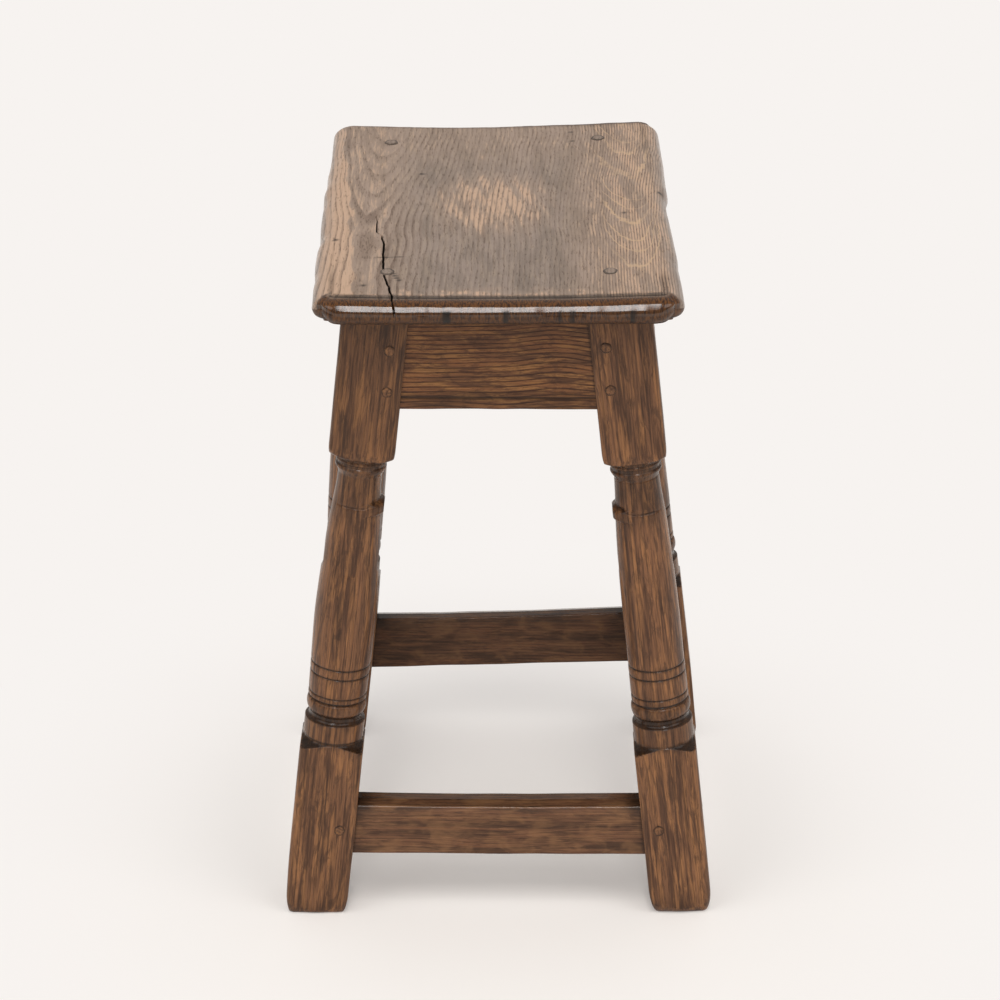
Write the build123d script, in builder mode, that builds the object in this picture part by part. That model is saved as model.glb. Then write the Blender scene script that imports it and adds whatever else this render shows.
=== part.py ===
from build123d import *
import os
from math import cos, hypot, radians, sin, tan

# A joined oak stool: a moulded board pegged down on four turned legs, which are held
# by four rails under the board and four stretchers near the floor. Every rail and
# stretcher ends in tenons that sit in mortises in the legs, and pegs lock the tenons.
# Millimetres. +Z is up, X runs across the short side of the board, Y along its length,
# and the origin is on the floor under the middle of the board. Front is -Y.

# Whole stool
seat_height = 550.0
splay = 6.24  # lean of every leg towards the middle, across the short side only

# Board
board_length = 466.0
board_width = 280.0
board_thickness = 23.0
board_corner_radius = 9.0
cup_depth = 2.1  # the board has cupped, so its middle is lower than its long edges
moulding_width = 17.0
moulding_quirk = 1.0  # small step where the moulding starts
moulding_upper_height = 12.0
moulding_lower_inset = 10.0

# Legs: a square post, turned between the upper block and the foot block
leg_side = 50.5
foot_spread = 350.6  # over the outer faces at the floor, across the stool
frame_length = 367.2  # over the outer faces, along the stool
foot_edge_radius = 5.0

# Turned part of a leg, as distances along the leg from the floor, and radii
foot_block_top = 140.5
foot_shoulder_end = 152.5
foot_shoulder_hollow = 1.4
collar_radius = 24.5
collar_top = 167.5
cove_radius = 22.3
cove_top = 174.5
torus_end_radius = 23.2
torus_radius = 24.3
torus_top = 187.0
quirk_radius = 21.8
quirk_top = 189.5
column_foot_radius = 23.1
column_belly = 245.0
column_belly_radius = 23.6
column_waist = 300.0
column_waist_radius = 22.4
column_top = 350.5
column_top_radius = 20.3
ring_radius = 23.6
ring_top = 361.5
neck_foot_radius = 19.2
neck_waist_radius = 18.0
neck_top = 382.0
neck_radius = 17.4
fillet_radius = 18.2
fillet_top = 384.0
astragal_foot = 387.0
astragal_end_radius = 18.9
astragal_radius = 19.7
astragal_top = 390.4
upper_quirk_radius = 18.5
upper_quirk_top = 391.4
shoulder_foot = 393.5
shoulder_foot_radius = 20.8
shoulder_top = 421.0
shoulder_swell = 1.2
scribe_heights = (193.0, 211.0, 219.0)
scribe_width = 1.0
scribe_depth = 0.6

# Rails under the board
rail_bottom = 442.0
rail_thickness = 22.0
rail_inset = 2.0  # back from the outer faces of the legs
rail_tenon_bottom = 447.0
rail_tenon_top = 503.0

# Stretchers
stretcher_height = 45.0
stretcher_thickness = 20.0
stretcher_inset = 5.0
stretcher_shoulder = 4.0  # above and below the tenon
stretcher_wear_width = 8.0  # top outer edge, worn down by feet
stretcher_wear_drop = 2.5
front_stretcher_bottom = 52.5
rear_stretcher_bottom = 62.5
side_stretcher_bottom = 57.0

# Tenons and mortises
tenon_thickness = 8.0
tenon_setback = 10.5  # from the outer face of the leg
tenon_length = 27.0
mortise_depth = 29.0

# Pegs
peg_radius = 4.0
peg_depth = 34.0
peg_proud = 0.6
peg_edge = 0.5
peg_from_shoulder = 11.5
rail_peg_heights = (457.5, 491.5)
seat_peg_radius = 4.75
seat_peg_x = 86.0
seat_peg_y = 166.0
seat_peg_top = 549.6
seat_peg_bottom = 506.0

# Worked out from the dimensions above
frame_top = seat_height - board_thickness
lean_sin = sin(radians(splay))
lean_cos = cos(radians(splay))
lean_tan = tan(radians(splay))
half_leg = leg_side / 2
foot_centre_x = foot_spread / 2 - half_leg / lean_cos
leg_centre_y = frame_length / 2 - half_leg
inner_face_y = frame_length / 2 - leg_side
cutter_margin = 15.0
corner_margin = 2.0
past_corner = hypot(half_leg, half_leg) + corner_margin
sides = (-1, 1)


def inner_face_x(z):
    # Distance from the middle plane to a leg's inner face at height z
    return foot_spread / 2 - z * lean_tan - leg_side / lean_cos


def leg_axis(x_side, y_side):
    return Axis((x_side * foot_centre_x, y_side * leg_centre_y, 0), (-x_side * lean_sin, 0, lean_cos))


def leaning_section(x_side, y):
    # Upright plane across the stool: x runs across a leg, y along its leaning axis
    return Plane(
        origin=(x_side * foot_centre_x, y, 0),
        x_dir=(lean_cos, 0, x_side * lean_sin),
        z_dir=(0, -1, 0),
    )


def outer_face(x_side):
    # Outer long face of the frame: x runs along the stool, y along the leaning legs
    return Plane(
        origin=(x_side * (foot_centre_x + half_leg * lean_cos), 0, half_leg * lean_sin),
        x_dir=(0, x_side, 0),
        z_dir=(x_side * lean_cos, 0, lean_sin),
    )


def end_face(y_side):
    # Front or rear face of the frame: x runs across the stool, y is the height
    return Plane(
        origin=(0, y_side * frame_length / 2, 0),
        x_dir=(-y_side, 0, 0),
        z_dir=(0, y_side, 0),
    )


def end_slab(bottom, top, reach):
    # Outline of a member between the leaning inner faces, grown by reach at each end
    low = inner_face_x(bottom) + reach
    high = inner_face_x(top) + reach
    Polygon((-low, bottom), (low, bottom), (high, top), (-high, top), align=None)


def end_peg_places(heights):
    return [
        (x_side * (inner_face_x(z) + peg_from_shoulder), z) for x_side in sides for z in heights
    ]


def side_peg_places(distances):
    return [
        (y_side * (inner_face_y + peg_from_shoulder), along) for y_side in sides for along in distances
    ]


def along_leg(z):
    # Distance along the leaning side members at height z
    return z / lean_cos


end_stretcher_bottoms = {-1: front_stretcher_bottom, 1: rear_stretcher_bottom}
stretcher_peg = stretcher_height / 2
rail_peg_distances = tuple(along_leg(z) for z in rail_peg_heights)
stretcher_peg_distances = (along_leg(side_stretcher_bottom + stretcher_peg),)


def stretcher_tenon(bottom):
    return bottom + stretcher_shoulder, bottom + stretcher_height - stretcher_shoulder


def side_slab(x_side, bottom, top, setback, thickness):
    # Outline of a side member in a leaning section, set back from the outer face
    across = x_side * (half_leg - setback - thickness / 2)
    with Locations((across, (along_leg(bottom) + along_leg(top)) / 2)):
        Rectangle(thickness, along_leg(top - bottom))


def bowed(start, end, bow):
    # Middle point of an arc that bows to the left of the line from start to end
    run = end[0] - start[0]
    rise = end[1] - start[1]
    length = hypot(run, rise)
    middle = ((start[0] + end[0]) / 2, (start[1] + end[1]) / 2)
    return middle[0] - bow * rise / length, middle[1] + bow * run / length


# Half of the turned shape, closed along the axis. Over the two blocks it stands
# outside the square post, so that it cuts away nothing there.
below = -cutter_margin
above = along_leg(frame_top) + cutter_margin
block_corner = (past_corner, foot_block_top)
collar_foot = (collar_radius, foot_shoulder_end)
foot_shoulder_mid = bowed(block_corner, collar_foot, foot_shoulder_hollow)
cove_mid = (cove_radius, (collar_top + cove_top) / 2)
torus_mid = (torus_radius, (cove_top + torus_top) / 2)
ring_mid = (ring_radius, (column_top + ring_top) / 2)
fillet_mid = (neck_radius, (fillet_top + astragal_foot) / 2)
astragal_mid = (astragal_radius, (astragal_foot + astragal_top) / 2)
neck_waist = (neck_waist_radius, (ring_top + neck_top) / 2)
shoulder_start = (shoulder_foot_radius, shoulder_foot)
shoulder_end = (past_corner, shoulder_top)
shoulder_mid = bowed(shoulder_start, shoulder_end, -shoulder_swell)
with BuildLine() as turned_outline:
    Polyline((0, below), (past_corner, below), block_corner)
    ThreePointArc(block_corner, foot_shoulder_mid, collar_foot)
    Line(collar_foot, (collar_radius, collar_top))
    ThreePointArc((collar_radius, collar_top), cove_mid, (torus_end_radius, cove_top))
    ThreePointArc((torus_end_radius, cove_top), torus_mid, (torus_end_radius, torus_top))
    Polyline(
        (torus_end_radius, torus_top),
        (quirk_radius, torus_top),
        (quirk_radius, quirk_top),
        (column_foot_radius, quirk_top),
    )
    Spline(
        (column_foot_radius, quirk_top),
        (column_belly_radius, column_belly),
        (column_waist_radius, column_waist),
        (column_top_radius, column_top),
    )
    ThreePointArc((column_top_radius, column_top), ring_mid, (neck_foot_radius, ring_top))
    Spline((neck_foot_radius, ring_top), neck_waist, (neck_radius, neck_top))
    Polyline((neck_radius, neck_top), (fillet_radius, neck_top), (fillet_radius, fillet_top))
    ThreePointArc((fillet_radius, fillet_top), fillet_mid, (astragal_end_radius, astragal_foot))
    ThreePointArc(
        (astragal_end_radius, astragal_foot), astragal_mid, (astragal_end_radius, astragal_top)
    )
    Polyline(
        (astragal_end_radius, astragal_top),
        (upper_quirk_radius, astragal_top),
        (upper_quirk_radius, upper_quirk_top),
        shoulder_start,
    )
    ThreePointArc(shoulder_start, shoulder_mid, shoulder_end)
    Polyline(shoulder_end, (past_corner, above), (0, above), (0, below))


def turned_leg(x_side, y_side):
    axis = leg_axis(x_side, y_side)
    section = leaning_section(x_side, y_side * leg_centre_y)
    foot = Plane(origin=section.origin, x_dir=section.x_dir, z_dir=section.y_dir)
    stretcher_bottom = end_stretcher_bottoms[y_side]
    with BuildPart() as leg:
        # Square post, turned between the blocks, then cut level at the floor and the top
        with BuildSketch(foot.offset(-cutter_margin)):
            Rectangle(leg_side, leg_side)
        extrude(amount=along_leg(frame_top) + 2 * cutter_margin)
        with BuildSketch(section):
            make_face(turned_outline.edges())
        revolve(axis=axis, mode=Mode.INTERSECT)
        with BuildSketch(section):
            for height in scribe_heights:
                with Locations((column_foot_radius, height)):
                    Rectangle(2 * scribe_depth, scribe_width)
        revolve(axis=axis, mode=Mode.SUBTRACT)
        split(bisect_by=Plane.XY, keep=Keep.TOP)
        split(bisect_by=Plane.XY.offset(frame_top), keep=Keep.BOTTOM)
        fillet(leg.edges().group_by(Axis.Z)[0], radius=foot_edge_radius)

        # Mortises for the end members, in the inner face across the stool
        mortise_face = end_face(y_side).offset(-tenon_setback)
        for bottom, top in (
            (rail_tenon_bottom, rail_tenon_top),
            stretcher_tenon(stretcher_bottom),
        ):
            with BuildSketch(mortise_face):
                end_slab(bottom, top, mortise_depth)
            extrude(amount=-tenon_thickness, mode=Mode.SUBTRACT)

        # Mortises for the side members, in the inner face along the stool
        for bottom, top in (
            (rail_tenon_bottom, rail_tenon_top),
            stretcher_tenon(side_stretcher_bottom),
        ):
            with BuildSketch(leaning_section(x_side, y_side * inner_face_y)):
                side_slab(x_side, bottom, top, tenon_setback, tenon_thickness)
            extrude(amount=-y_side * mortise_depth, mode=Mode.SUBTRACT)

        # Peg holes through both faces, and the hole for the board's peg
        with BuildSketch(end_face(y_side)):
            with Locations(*end_peg_places(rail_peg_heights + (stretcher_bottom + stretcher_peg,))):
                Circle(peg_radius)
        extrude(amount=-peg_depth, mode=Mode.SUBTRACT)
        with BuildSketch(outer_face(x_side)):
            with Locations(*side_peg_places(rail_peg_distances + stretcher_peg_distances)):
                Circle(peg_radius)
        extrude(amount=-peg_depth, mode=Mode.SUBTRACT)
        with BuildSketch(Plane.XY.offset(seat_peg_bottom)):
            with Locations((x_side * seat_peg_x, y_side * seat_peg_y)):
                Circle(seat_peg_radius)
        extrude(amount=board_thickness, mode=Mode.SUBTRACT)
    return leg.part


def wear_down(top_face, outwards):
    # The outer edge of a stretcher's top, worn to a slope by feet
    edge = top_face.edges().sort_by(outwards)[-1]
    chamfer(edge, length=stretcher_wear_width, length2=stretcher_wear_drop, reference=top_face)


def end_member(y_side, bottom, top, inset, thickness, tenon, peg_heights, worn):
    # A front or rear rail or stretcher, with shoulders cut to the leaning legs
    with BuildPart() as member:
        with BuildSketch(end_face(y_side).offset(-inset)):
            end_slab(bottom, top, 0)
        extrude(amount=-thickness)
        if worn:
            wear_down(member.faces().sort_by(Axis.Z)[-1], Axis((0, 0, 0), (0, y_side, 0)))
        with BuildSketch(end_face(y_side).offset(-tenon_setback)):
            end_slab(*tenon, tenon_length)
        extrude(amount=-tenon_thickness)
        with BuildSketch(end_face(y_side)):
            with Locations(*end_peg_places(peg_heights)):
                Circle(peg_radius)
        extrude(amount=-peg_depth, mode=Mode.SUBTRACT)
    return member.part


def side_member(x_side, bottom, top, inset, thickness, tenon, peg_distances, worn):
    # A side rail or stretcher, leaning with the legs and square between them
    with BuildPart() as member:
        with BuildSketch(leaning_section(x_side, -inner_face_y)):
            side_slab(x_side, bottom, top, inset, thickness)
        extrude(amount=-2 * inner_face_y)
        split(bisect_by=Plane.XY.offset(frame_top), keep=Keep.BOTTOM)
        if worn:
            wear_down(member.faces().sort_by(Axis.Z)[-1], Axis((0, 0, 0), (x_side, 0, 0)))
        with BuildSketch(leaning_section(x_side, -inner_face_y - tenon_length)):
            side_slab(x_side, *tenon, tenon_setback, tenon_thickness)
        extrude(amount=-2 * (inner_face_y + tenon_length))
        with BuildSketch(outer_face(x_side)):
            with Locations(*side_peg_places(peg_distances)):
                Circle(peg_radius)
        extrude(amount=-peg_depth, mode=Mode.SUBTRACT)
    return member.part


def driven_pegs(face, places):
    # Pegs driven square into a face, each standing a little proud of it
    with BuildPart() as pegs:
        with BuildSketch(face.offset(-peg_depth)):
            with Locations(*places):
                Circle(peg_radius)
        extrude(amount=peg_depth + peg_proud)
        heads = pegs.faces().filter_by(face).group_by(Axis(face.origin, face.z_dir))[-1]
        chamfer(heads.edges(), length=peg_edge)
    return pegs.part


def keep(piece, name):
    piece.label = name
    export_step(piece, f"parts/{name}.step")


os.makedirs("parts", exist_ok=True)

# Board: one moulded section across its width, another along its length, and a plan
# with rounded corners, each cut by the next, so that the mouldings mitre at the corners
moulding_centre = seat_height - moulding_quirk - moulding_upper_height
moulding_lower_height = moulding_centre - frame_top


def moulded_section(half_width, sag):
    # Section from the middle outwards on both sides: field, step, thumb moulding, underside
    field = half_width - moulding_width
    underside = half_width - moulding_lower_inset
    with BuildLine() as section:
        for side, upper_start, lower_start in ((-1, 90, 180), (1, 0, 270)):
            Line((side * field, seat_height), (side * field, seat_height - moulding_quirk))
            EllipticalCenterArc(
                (side * field, moulding_centre),
                moulding_width,
                moulding_upper_height,
                start_angle=upper_start,
                arc_size=90,
            )
            EllipticalCenterArc(
                (side * underside, moulding_centre),
                moulding_lower_inset,
                moulding_lower_height,
                start_angle=lower_start,
                arc_size=90,
            )
        if sag:
            ThreePointArc((-field, seat_height), (0, seat_height - sag), (field, seat_height))
        else:
            Line((-field, seat_height), (field, seat_height))
        Line((-underside, frame_top), (underside, frame_top))
    return section.edges()


with BuildPart() as seat_board:
    with BuildSketch(Plane.XZ.offset(-board_length / 2)):
        make_face(moulded_section(board_width / 2, cup_depth))
    extrude(amount=board_length)
    with BuildSketch(Plane.YZ.offset(-board_width / 2)):
        make_face(moulded_section(board_length / 2, 0))
    extrude(amount=board_width, mode=Mode.INTERSECT)
    with BuildSketch(Plane.XY.offset(frame_top)):
        RectangleRounded(board_width, board_length, board_corner_radius)
    extrude(amount=board_thickness, mode=Mode.INTERSECT)
    with BuildSketch(Plane.XY.offset(frame_top)):
        with GridLocations(2 * seat_peg_x, 2 * seat_peg_y, 2, 2):
            Circle(seat_peg_radius)
    extrude(amount=board_thickness, mode=Mode.SUBTRACT)
keep(seat_board.part, "seat_board")

with BuildPart() as seat_pegs:
    with BuildSketch(Plane.XY.offset(seat_peg_bottom)):
        with GridLocations(2 * seat_peg_x, 2 * seat_peg_y, 2, 2):
            Circle(seat_peg_radius)
    extrude(amount=seat_peg_top - seat_peg_bottom)
    chamfer(seat_pegs.faces().group_by(Axis.Z)[-1].edges(), length=peg_edge)
keep(seat_pegs.part, "seat_pegs")

# Legs
x_names = {-1: "left", 1: "right"}
y_names = {-1: "front", 1: "rear"}
for y_side, y_name in y_names.items():
    for x_side, x_name in x_names.items():
        keep(turned_leg(x_side, y_side), f"{y_name}_{x_name}_leg")

# Rails, stretchers and their pegs
rail_tenon = (rail_tenon_bottom, rail_tenon_top)
for y_side, name in y_names.items():
    bottom = end_stretcher_bottoms[y_side]
    stretcher_peg_height = (bottom + stretcher_peg,)
    rail = end_member(
        y_side, rail_bottom, frame_top, rail_inset, rail_thickness, rail_tenon, rail_peg_heights, False
    )
    stretcher = end_member(
        y_side,
        bottom,
        bottom + stretcher_height,
        stretcher_inset,
        stretcher_thickness,
        stretcher_tenon(bottom),
        stretcher_peg_height,
        True,
    )
    keep(rail, f"{name}_rail")
    keep(stretcher, f"{name}_stretcher")
    for member, heights in (("rail", rail_peg_heights), ("stretcher", stretcher_peg_height)):
        keep(driven_pegs(end_face(y_side), end_peg_places(heights)), f"{name}_{member}_pegs")

for x_side, name in x_names.items():
    rail = side_member(
        x_side,
        rail_bottom,
        frame_top + cutter_margin,
        rail_inset,
        rail_thickness,
        rail_tenon,
        rail_peg_distances,
        False,
    )
    stretcher = side_member(
        x_side,
        side_stretcher_bottom,
        side_stretcher_bottom + stretcher_height,
        stretcher_inset,
        stretcher_thickness,
        stretcher_tenon(side_stretcher_bottom),
        stretcher_peg_distances,
        True,
    )
    keep(rail, f"{name}_rail")
    keep(stretcher, f"{name}_stretcher")
    for member, distances in (("rail", rail_peg_distances), ("stretcher", stretcher_peg_distances)):
        keep(driven_pegs(outer_face(x_side), side_peg_places(distances)), f"{name}_{member}_pegs")
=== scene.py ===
import bmesh
import bpy
import numpy as np
from mathutils import Matrix


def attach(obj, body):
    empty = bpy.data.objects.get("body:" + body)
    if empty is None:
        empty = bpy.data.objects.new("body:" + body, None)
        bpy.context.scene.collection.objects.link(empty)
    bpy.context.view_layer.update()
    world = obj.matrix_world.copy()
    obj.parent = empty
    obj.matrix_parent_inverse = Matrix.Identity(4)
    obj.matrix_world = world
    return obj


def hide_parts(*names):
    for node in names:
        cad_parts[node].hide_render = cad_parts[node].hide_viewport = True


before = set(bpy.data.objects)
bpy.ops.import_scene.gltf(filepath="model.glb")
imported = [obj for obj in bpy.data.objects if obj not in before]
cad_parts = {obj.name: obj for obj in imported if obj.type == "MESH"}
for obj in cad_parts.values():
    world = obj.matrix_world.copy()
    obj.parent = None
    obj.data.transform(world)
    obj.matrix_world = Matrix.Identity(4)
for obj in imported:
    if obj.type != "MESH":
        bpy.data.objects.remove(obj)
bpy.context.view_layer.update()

# The stool's driving sizes, in millimetres, as in the CAD
stool = dict(
    frameTop=527.0,
    splay=np.radians(6.24),  # every leg leans towards the middle, across the stool
    legSide=50.5,
    footSpread=350.6,
    frameLength=367.2,
)
leanSin, leanCos, leanTan = np.sin(stool["splay"]), np.cos(stool["splay"]), np.tan(stool["splay"])
halfLeg = stool["legSide"] / 2
footCentreX = stool["footSpread"] / 2 - halfLeg / leanCos
legCentreY = stool["frameLength"] / 2 - halfLeg
innerFaceY = stool["frameLength"] / 2 - stool["legSide"]


def innerFaceX(z):
    return stool["footSpread"] / 2 - z * leanTan - stool["legSide"] / leanCos


# camera first
view = dict(
    place=(0.030716, -2.688883, 1.429698),  # metres, from the middle of the stool
    right=(0.99993946, 0.01085160, -0.00182216),
    up=(-0.00255850, 0.39035197, 0.92066215),
    lens=126.0,  # on a 36 mm sensor
)
cameraData = bpy.data.cameras.new("studioCamera")
cameraData.lens = view["lens"]
cameraData.sensor_width = 36.0
cameraObject = bpy.data.objects.new("studioCamera", cameraData)
bpy.context.scene.collection.objects.link(cameraObject)
right, up = np.array(view["right"]), np.array(view["up"])
back = np.cross(right, up)
turn = Matrix(np.column_stack([right, up, back]).tolist()).to_4x4()
cameraObject.matrix_world = Matrix.Translation(view["place"]) @ turn
bpy.context.scene.camera = cameraObject
print("camera placed")


# small helpers for numpy surfaces
def share(value, low, high):
    return np.clip((value - low) / (high - low), 0, 1)


def smoothStep(value, low, high):
    part = share(value, low, high)
    return part * part * (3 - 2 * part)


def between(value, start, full, leave, end):
    # 1 from full to leave and 0 outside start and end, with smooth steps
    return smoothStep(value, start, full) * smoothStep(value, end, leave)


def hill(value, middle, halfWidth):
    # a bell curve, 1 in the middle and 1/e at the half width
    return np.exp(-(((value - middle) / halfWidth) ** 2))


def roundEdge(part):
    # height on a quarter circle, from 0 at part 0, where it stands upright, to 1 at part 1
    return np.sqrt(1 - (1 - part) ** 2)


def latticeNoise(points, cell, seed):
    # random heights on a lattice with that cell, blended between its corners by s*s*(3-2s), from -1 to 1
    size = 32
    heights = np.random.default_rng(seed).uniform(-1, 1, (size, size, size))
    place = points / np.asarray(cell, float)
    low = np.floor(place).astype(int)
    part = place - low
    part = part * part * (3 - 2 * part)
    total = np.zeros(points.shape[:-1])
    for corner in np.ndindex(2, 2, 2):
        weight = np.prod(np.where(np.array(corner) == 1, part, 1 - part), axis=-1)
        index = (low + corner) % size
        total += weight * heights[index[..., 0], index[..., 1], index[..., 2]]
    return total


def layeredNoise(points, cell, seed, layers=3):
    # each layer has half the cell and half the height of the one before
    cell = np.asarray(cell, float)
    return sum(latticeNoise(points, cell / 2**k, seed + k) / 2**k for k in range(layers))


def outwardNormals(grid, wrap):
    # cross product of the two grid directions, as unit vectors; wrap closes the second direction
    down = np.gradient(grid, axis=0)
    if wrap:
        around = (np.roll(grid, -1, axis=1) - np.roll(grid, 1, axis=1)) / 2
    else:
        around = np.gradient(grid, axis=1)
    normals = np.cross(down, around)
    return normals / np.maximum(np.linalg.norm(normals, axis=-1, keepdims=True), 1e-9)


def gridFaces(rows, columns, wrap, start=0):
    # four-cornered faces between neighbours of a rows x columns grid
    index = np.arange(rows * columns).reshape(rows, columns) + start
    nextColumn = np.roll(index, -1, axis=1)
    if not wrap:
        index, nextColumn = index[:, :-1], nextColumn[:, :-1]
    return np.stack([index[:-1], index[1:], nextColumn[1:], nextColumn[:-1]], axis=-1).reshape(-1, 4)


def makePiece(name, grids, wrap, marks, finish, nodes):
    # one closed mesh from one or more grids of points in millimetres; marks are values kept at every point:
    # grain (millimetres across, through and along the wood), ring (growth rings counted from the pith),
    # wear (with a painted highlight on the arrises of rails and stretchers), grime (with painted shade in
    # recesses, creases and under the mouldings) and polish from 0 to 1, and on the board also face (the
    # moulding's end grain), lines (darker rings), ray (pale arcs, counted) and rayAmount
    points, faces, start = [], [], 0
    for grid in grids:
        rows, columns = grid.shape[:2]
        points.append(grid.reshape(-1, 3))
        faces.append(gridFaces(rows, columns, wrap, start))
        start += rows * columns
    points, faces = np.concatenate(points), np.concatenate(faces)
    mesh = bpy.data.meshes.new(name)
    mesh.from_pydata((points / 1000).tolist(), [], faces.tolist())
    for markName, values in marks.items():
        vector = markName == "grain"
        mark = mesh.attributes.new(markName, "FLOAT_VECTOR" if vector else "FLOAT", "POINT")
        values = np.concatenate([v.reshape(-1, 3) if vector else v.reshape(-1) for v in values])
        mark.data.foreach_set("vector" if vector else "value", values.astype(np.float32).ravel())
    shell = bmesh.new()
    shell.from_mesh(mesh)
    bmesh.ops.remove_doubles(shell, verts=shell.verts, dist=2e-6)
    bmesh.ops.dissolve_degenerate(shell, edges=shell.edges, dist=1e-7)
    bmesh.ops.recalc_face_normals(shell, faces=shell.faces)
    shell.to_mesh(mesh)
    shell.free()
    mesh.polygons.foreach_set("use_smooth", np.ones(len(mesh.polygons), bool))
    mesh.materials.append(finish)
    piece = bpy.data.objects.new(name, mesh)
    bpy.context.scene.collection.objects.link(piece)
    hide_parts(*nodes)
    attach(piece, "root")
    return piece


def capped(grid):
    # closes both ends of a tube of rings with a ring drawn in to each end's middle
    first = np.broadcast_to(grid[:1].mean(axis=1, keepdims=True), grid[:1].shape)
    last = np.broadcast_to(grid[-1:].mean(axis=1, keepdims=True), grid[-1:].shape)
    return np.concatenate([first, grid, last])


def cappedMark(values):
    return np.concatenate([values[:1], values, values[-1:]])


# materials
def linearColour(code):
    # sRGB hex to linear red, green and blue
    parts = [int(code[i : i + 2], 16) / 255 for i in (1, 3, 5)]
    return tuple(p / 12.92 if p <= 0.04045 else ((p + 0.055) / 1.055) ** 2.4 for p in parts) + (1.0,)


def addNode(tree, kind, inputs=None, output=0, **settings):
    # a node with its settings, constants and links; gives back the output that others link to
    node = tree.nodes.new("ShaderNode" + kind)
    for key, value in settings.items():
        setattr(node, key, value)
    for socket, value in (inputs or {}).items():
        if isinstance(value, bpy.types.NodeSocket):
            tree.links.new(value, node.inputs[socket])
        else:
            node.inputs[socket].default_value = value
    return node.outputs[output] if len(node.outputs) else node


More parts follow.
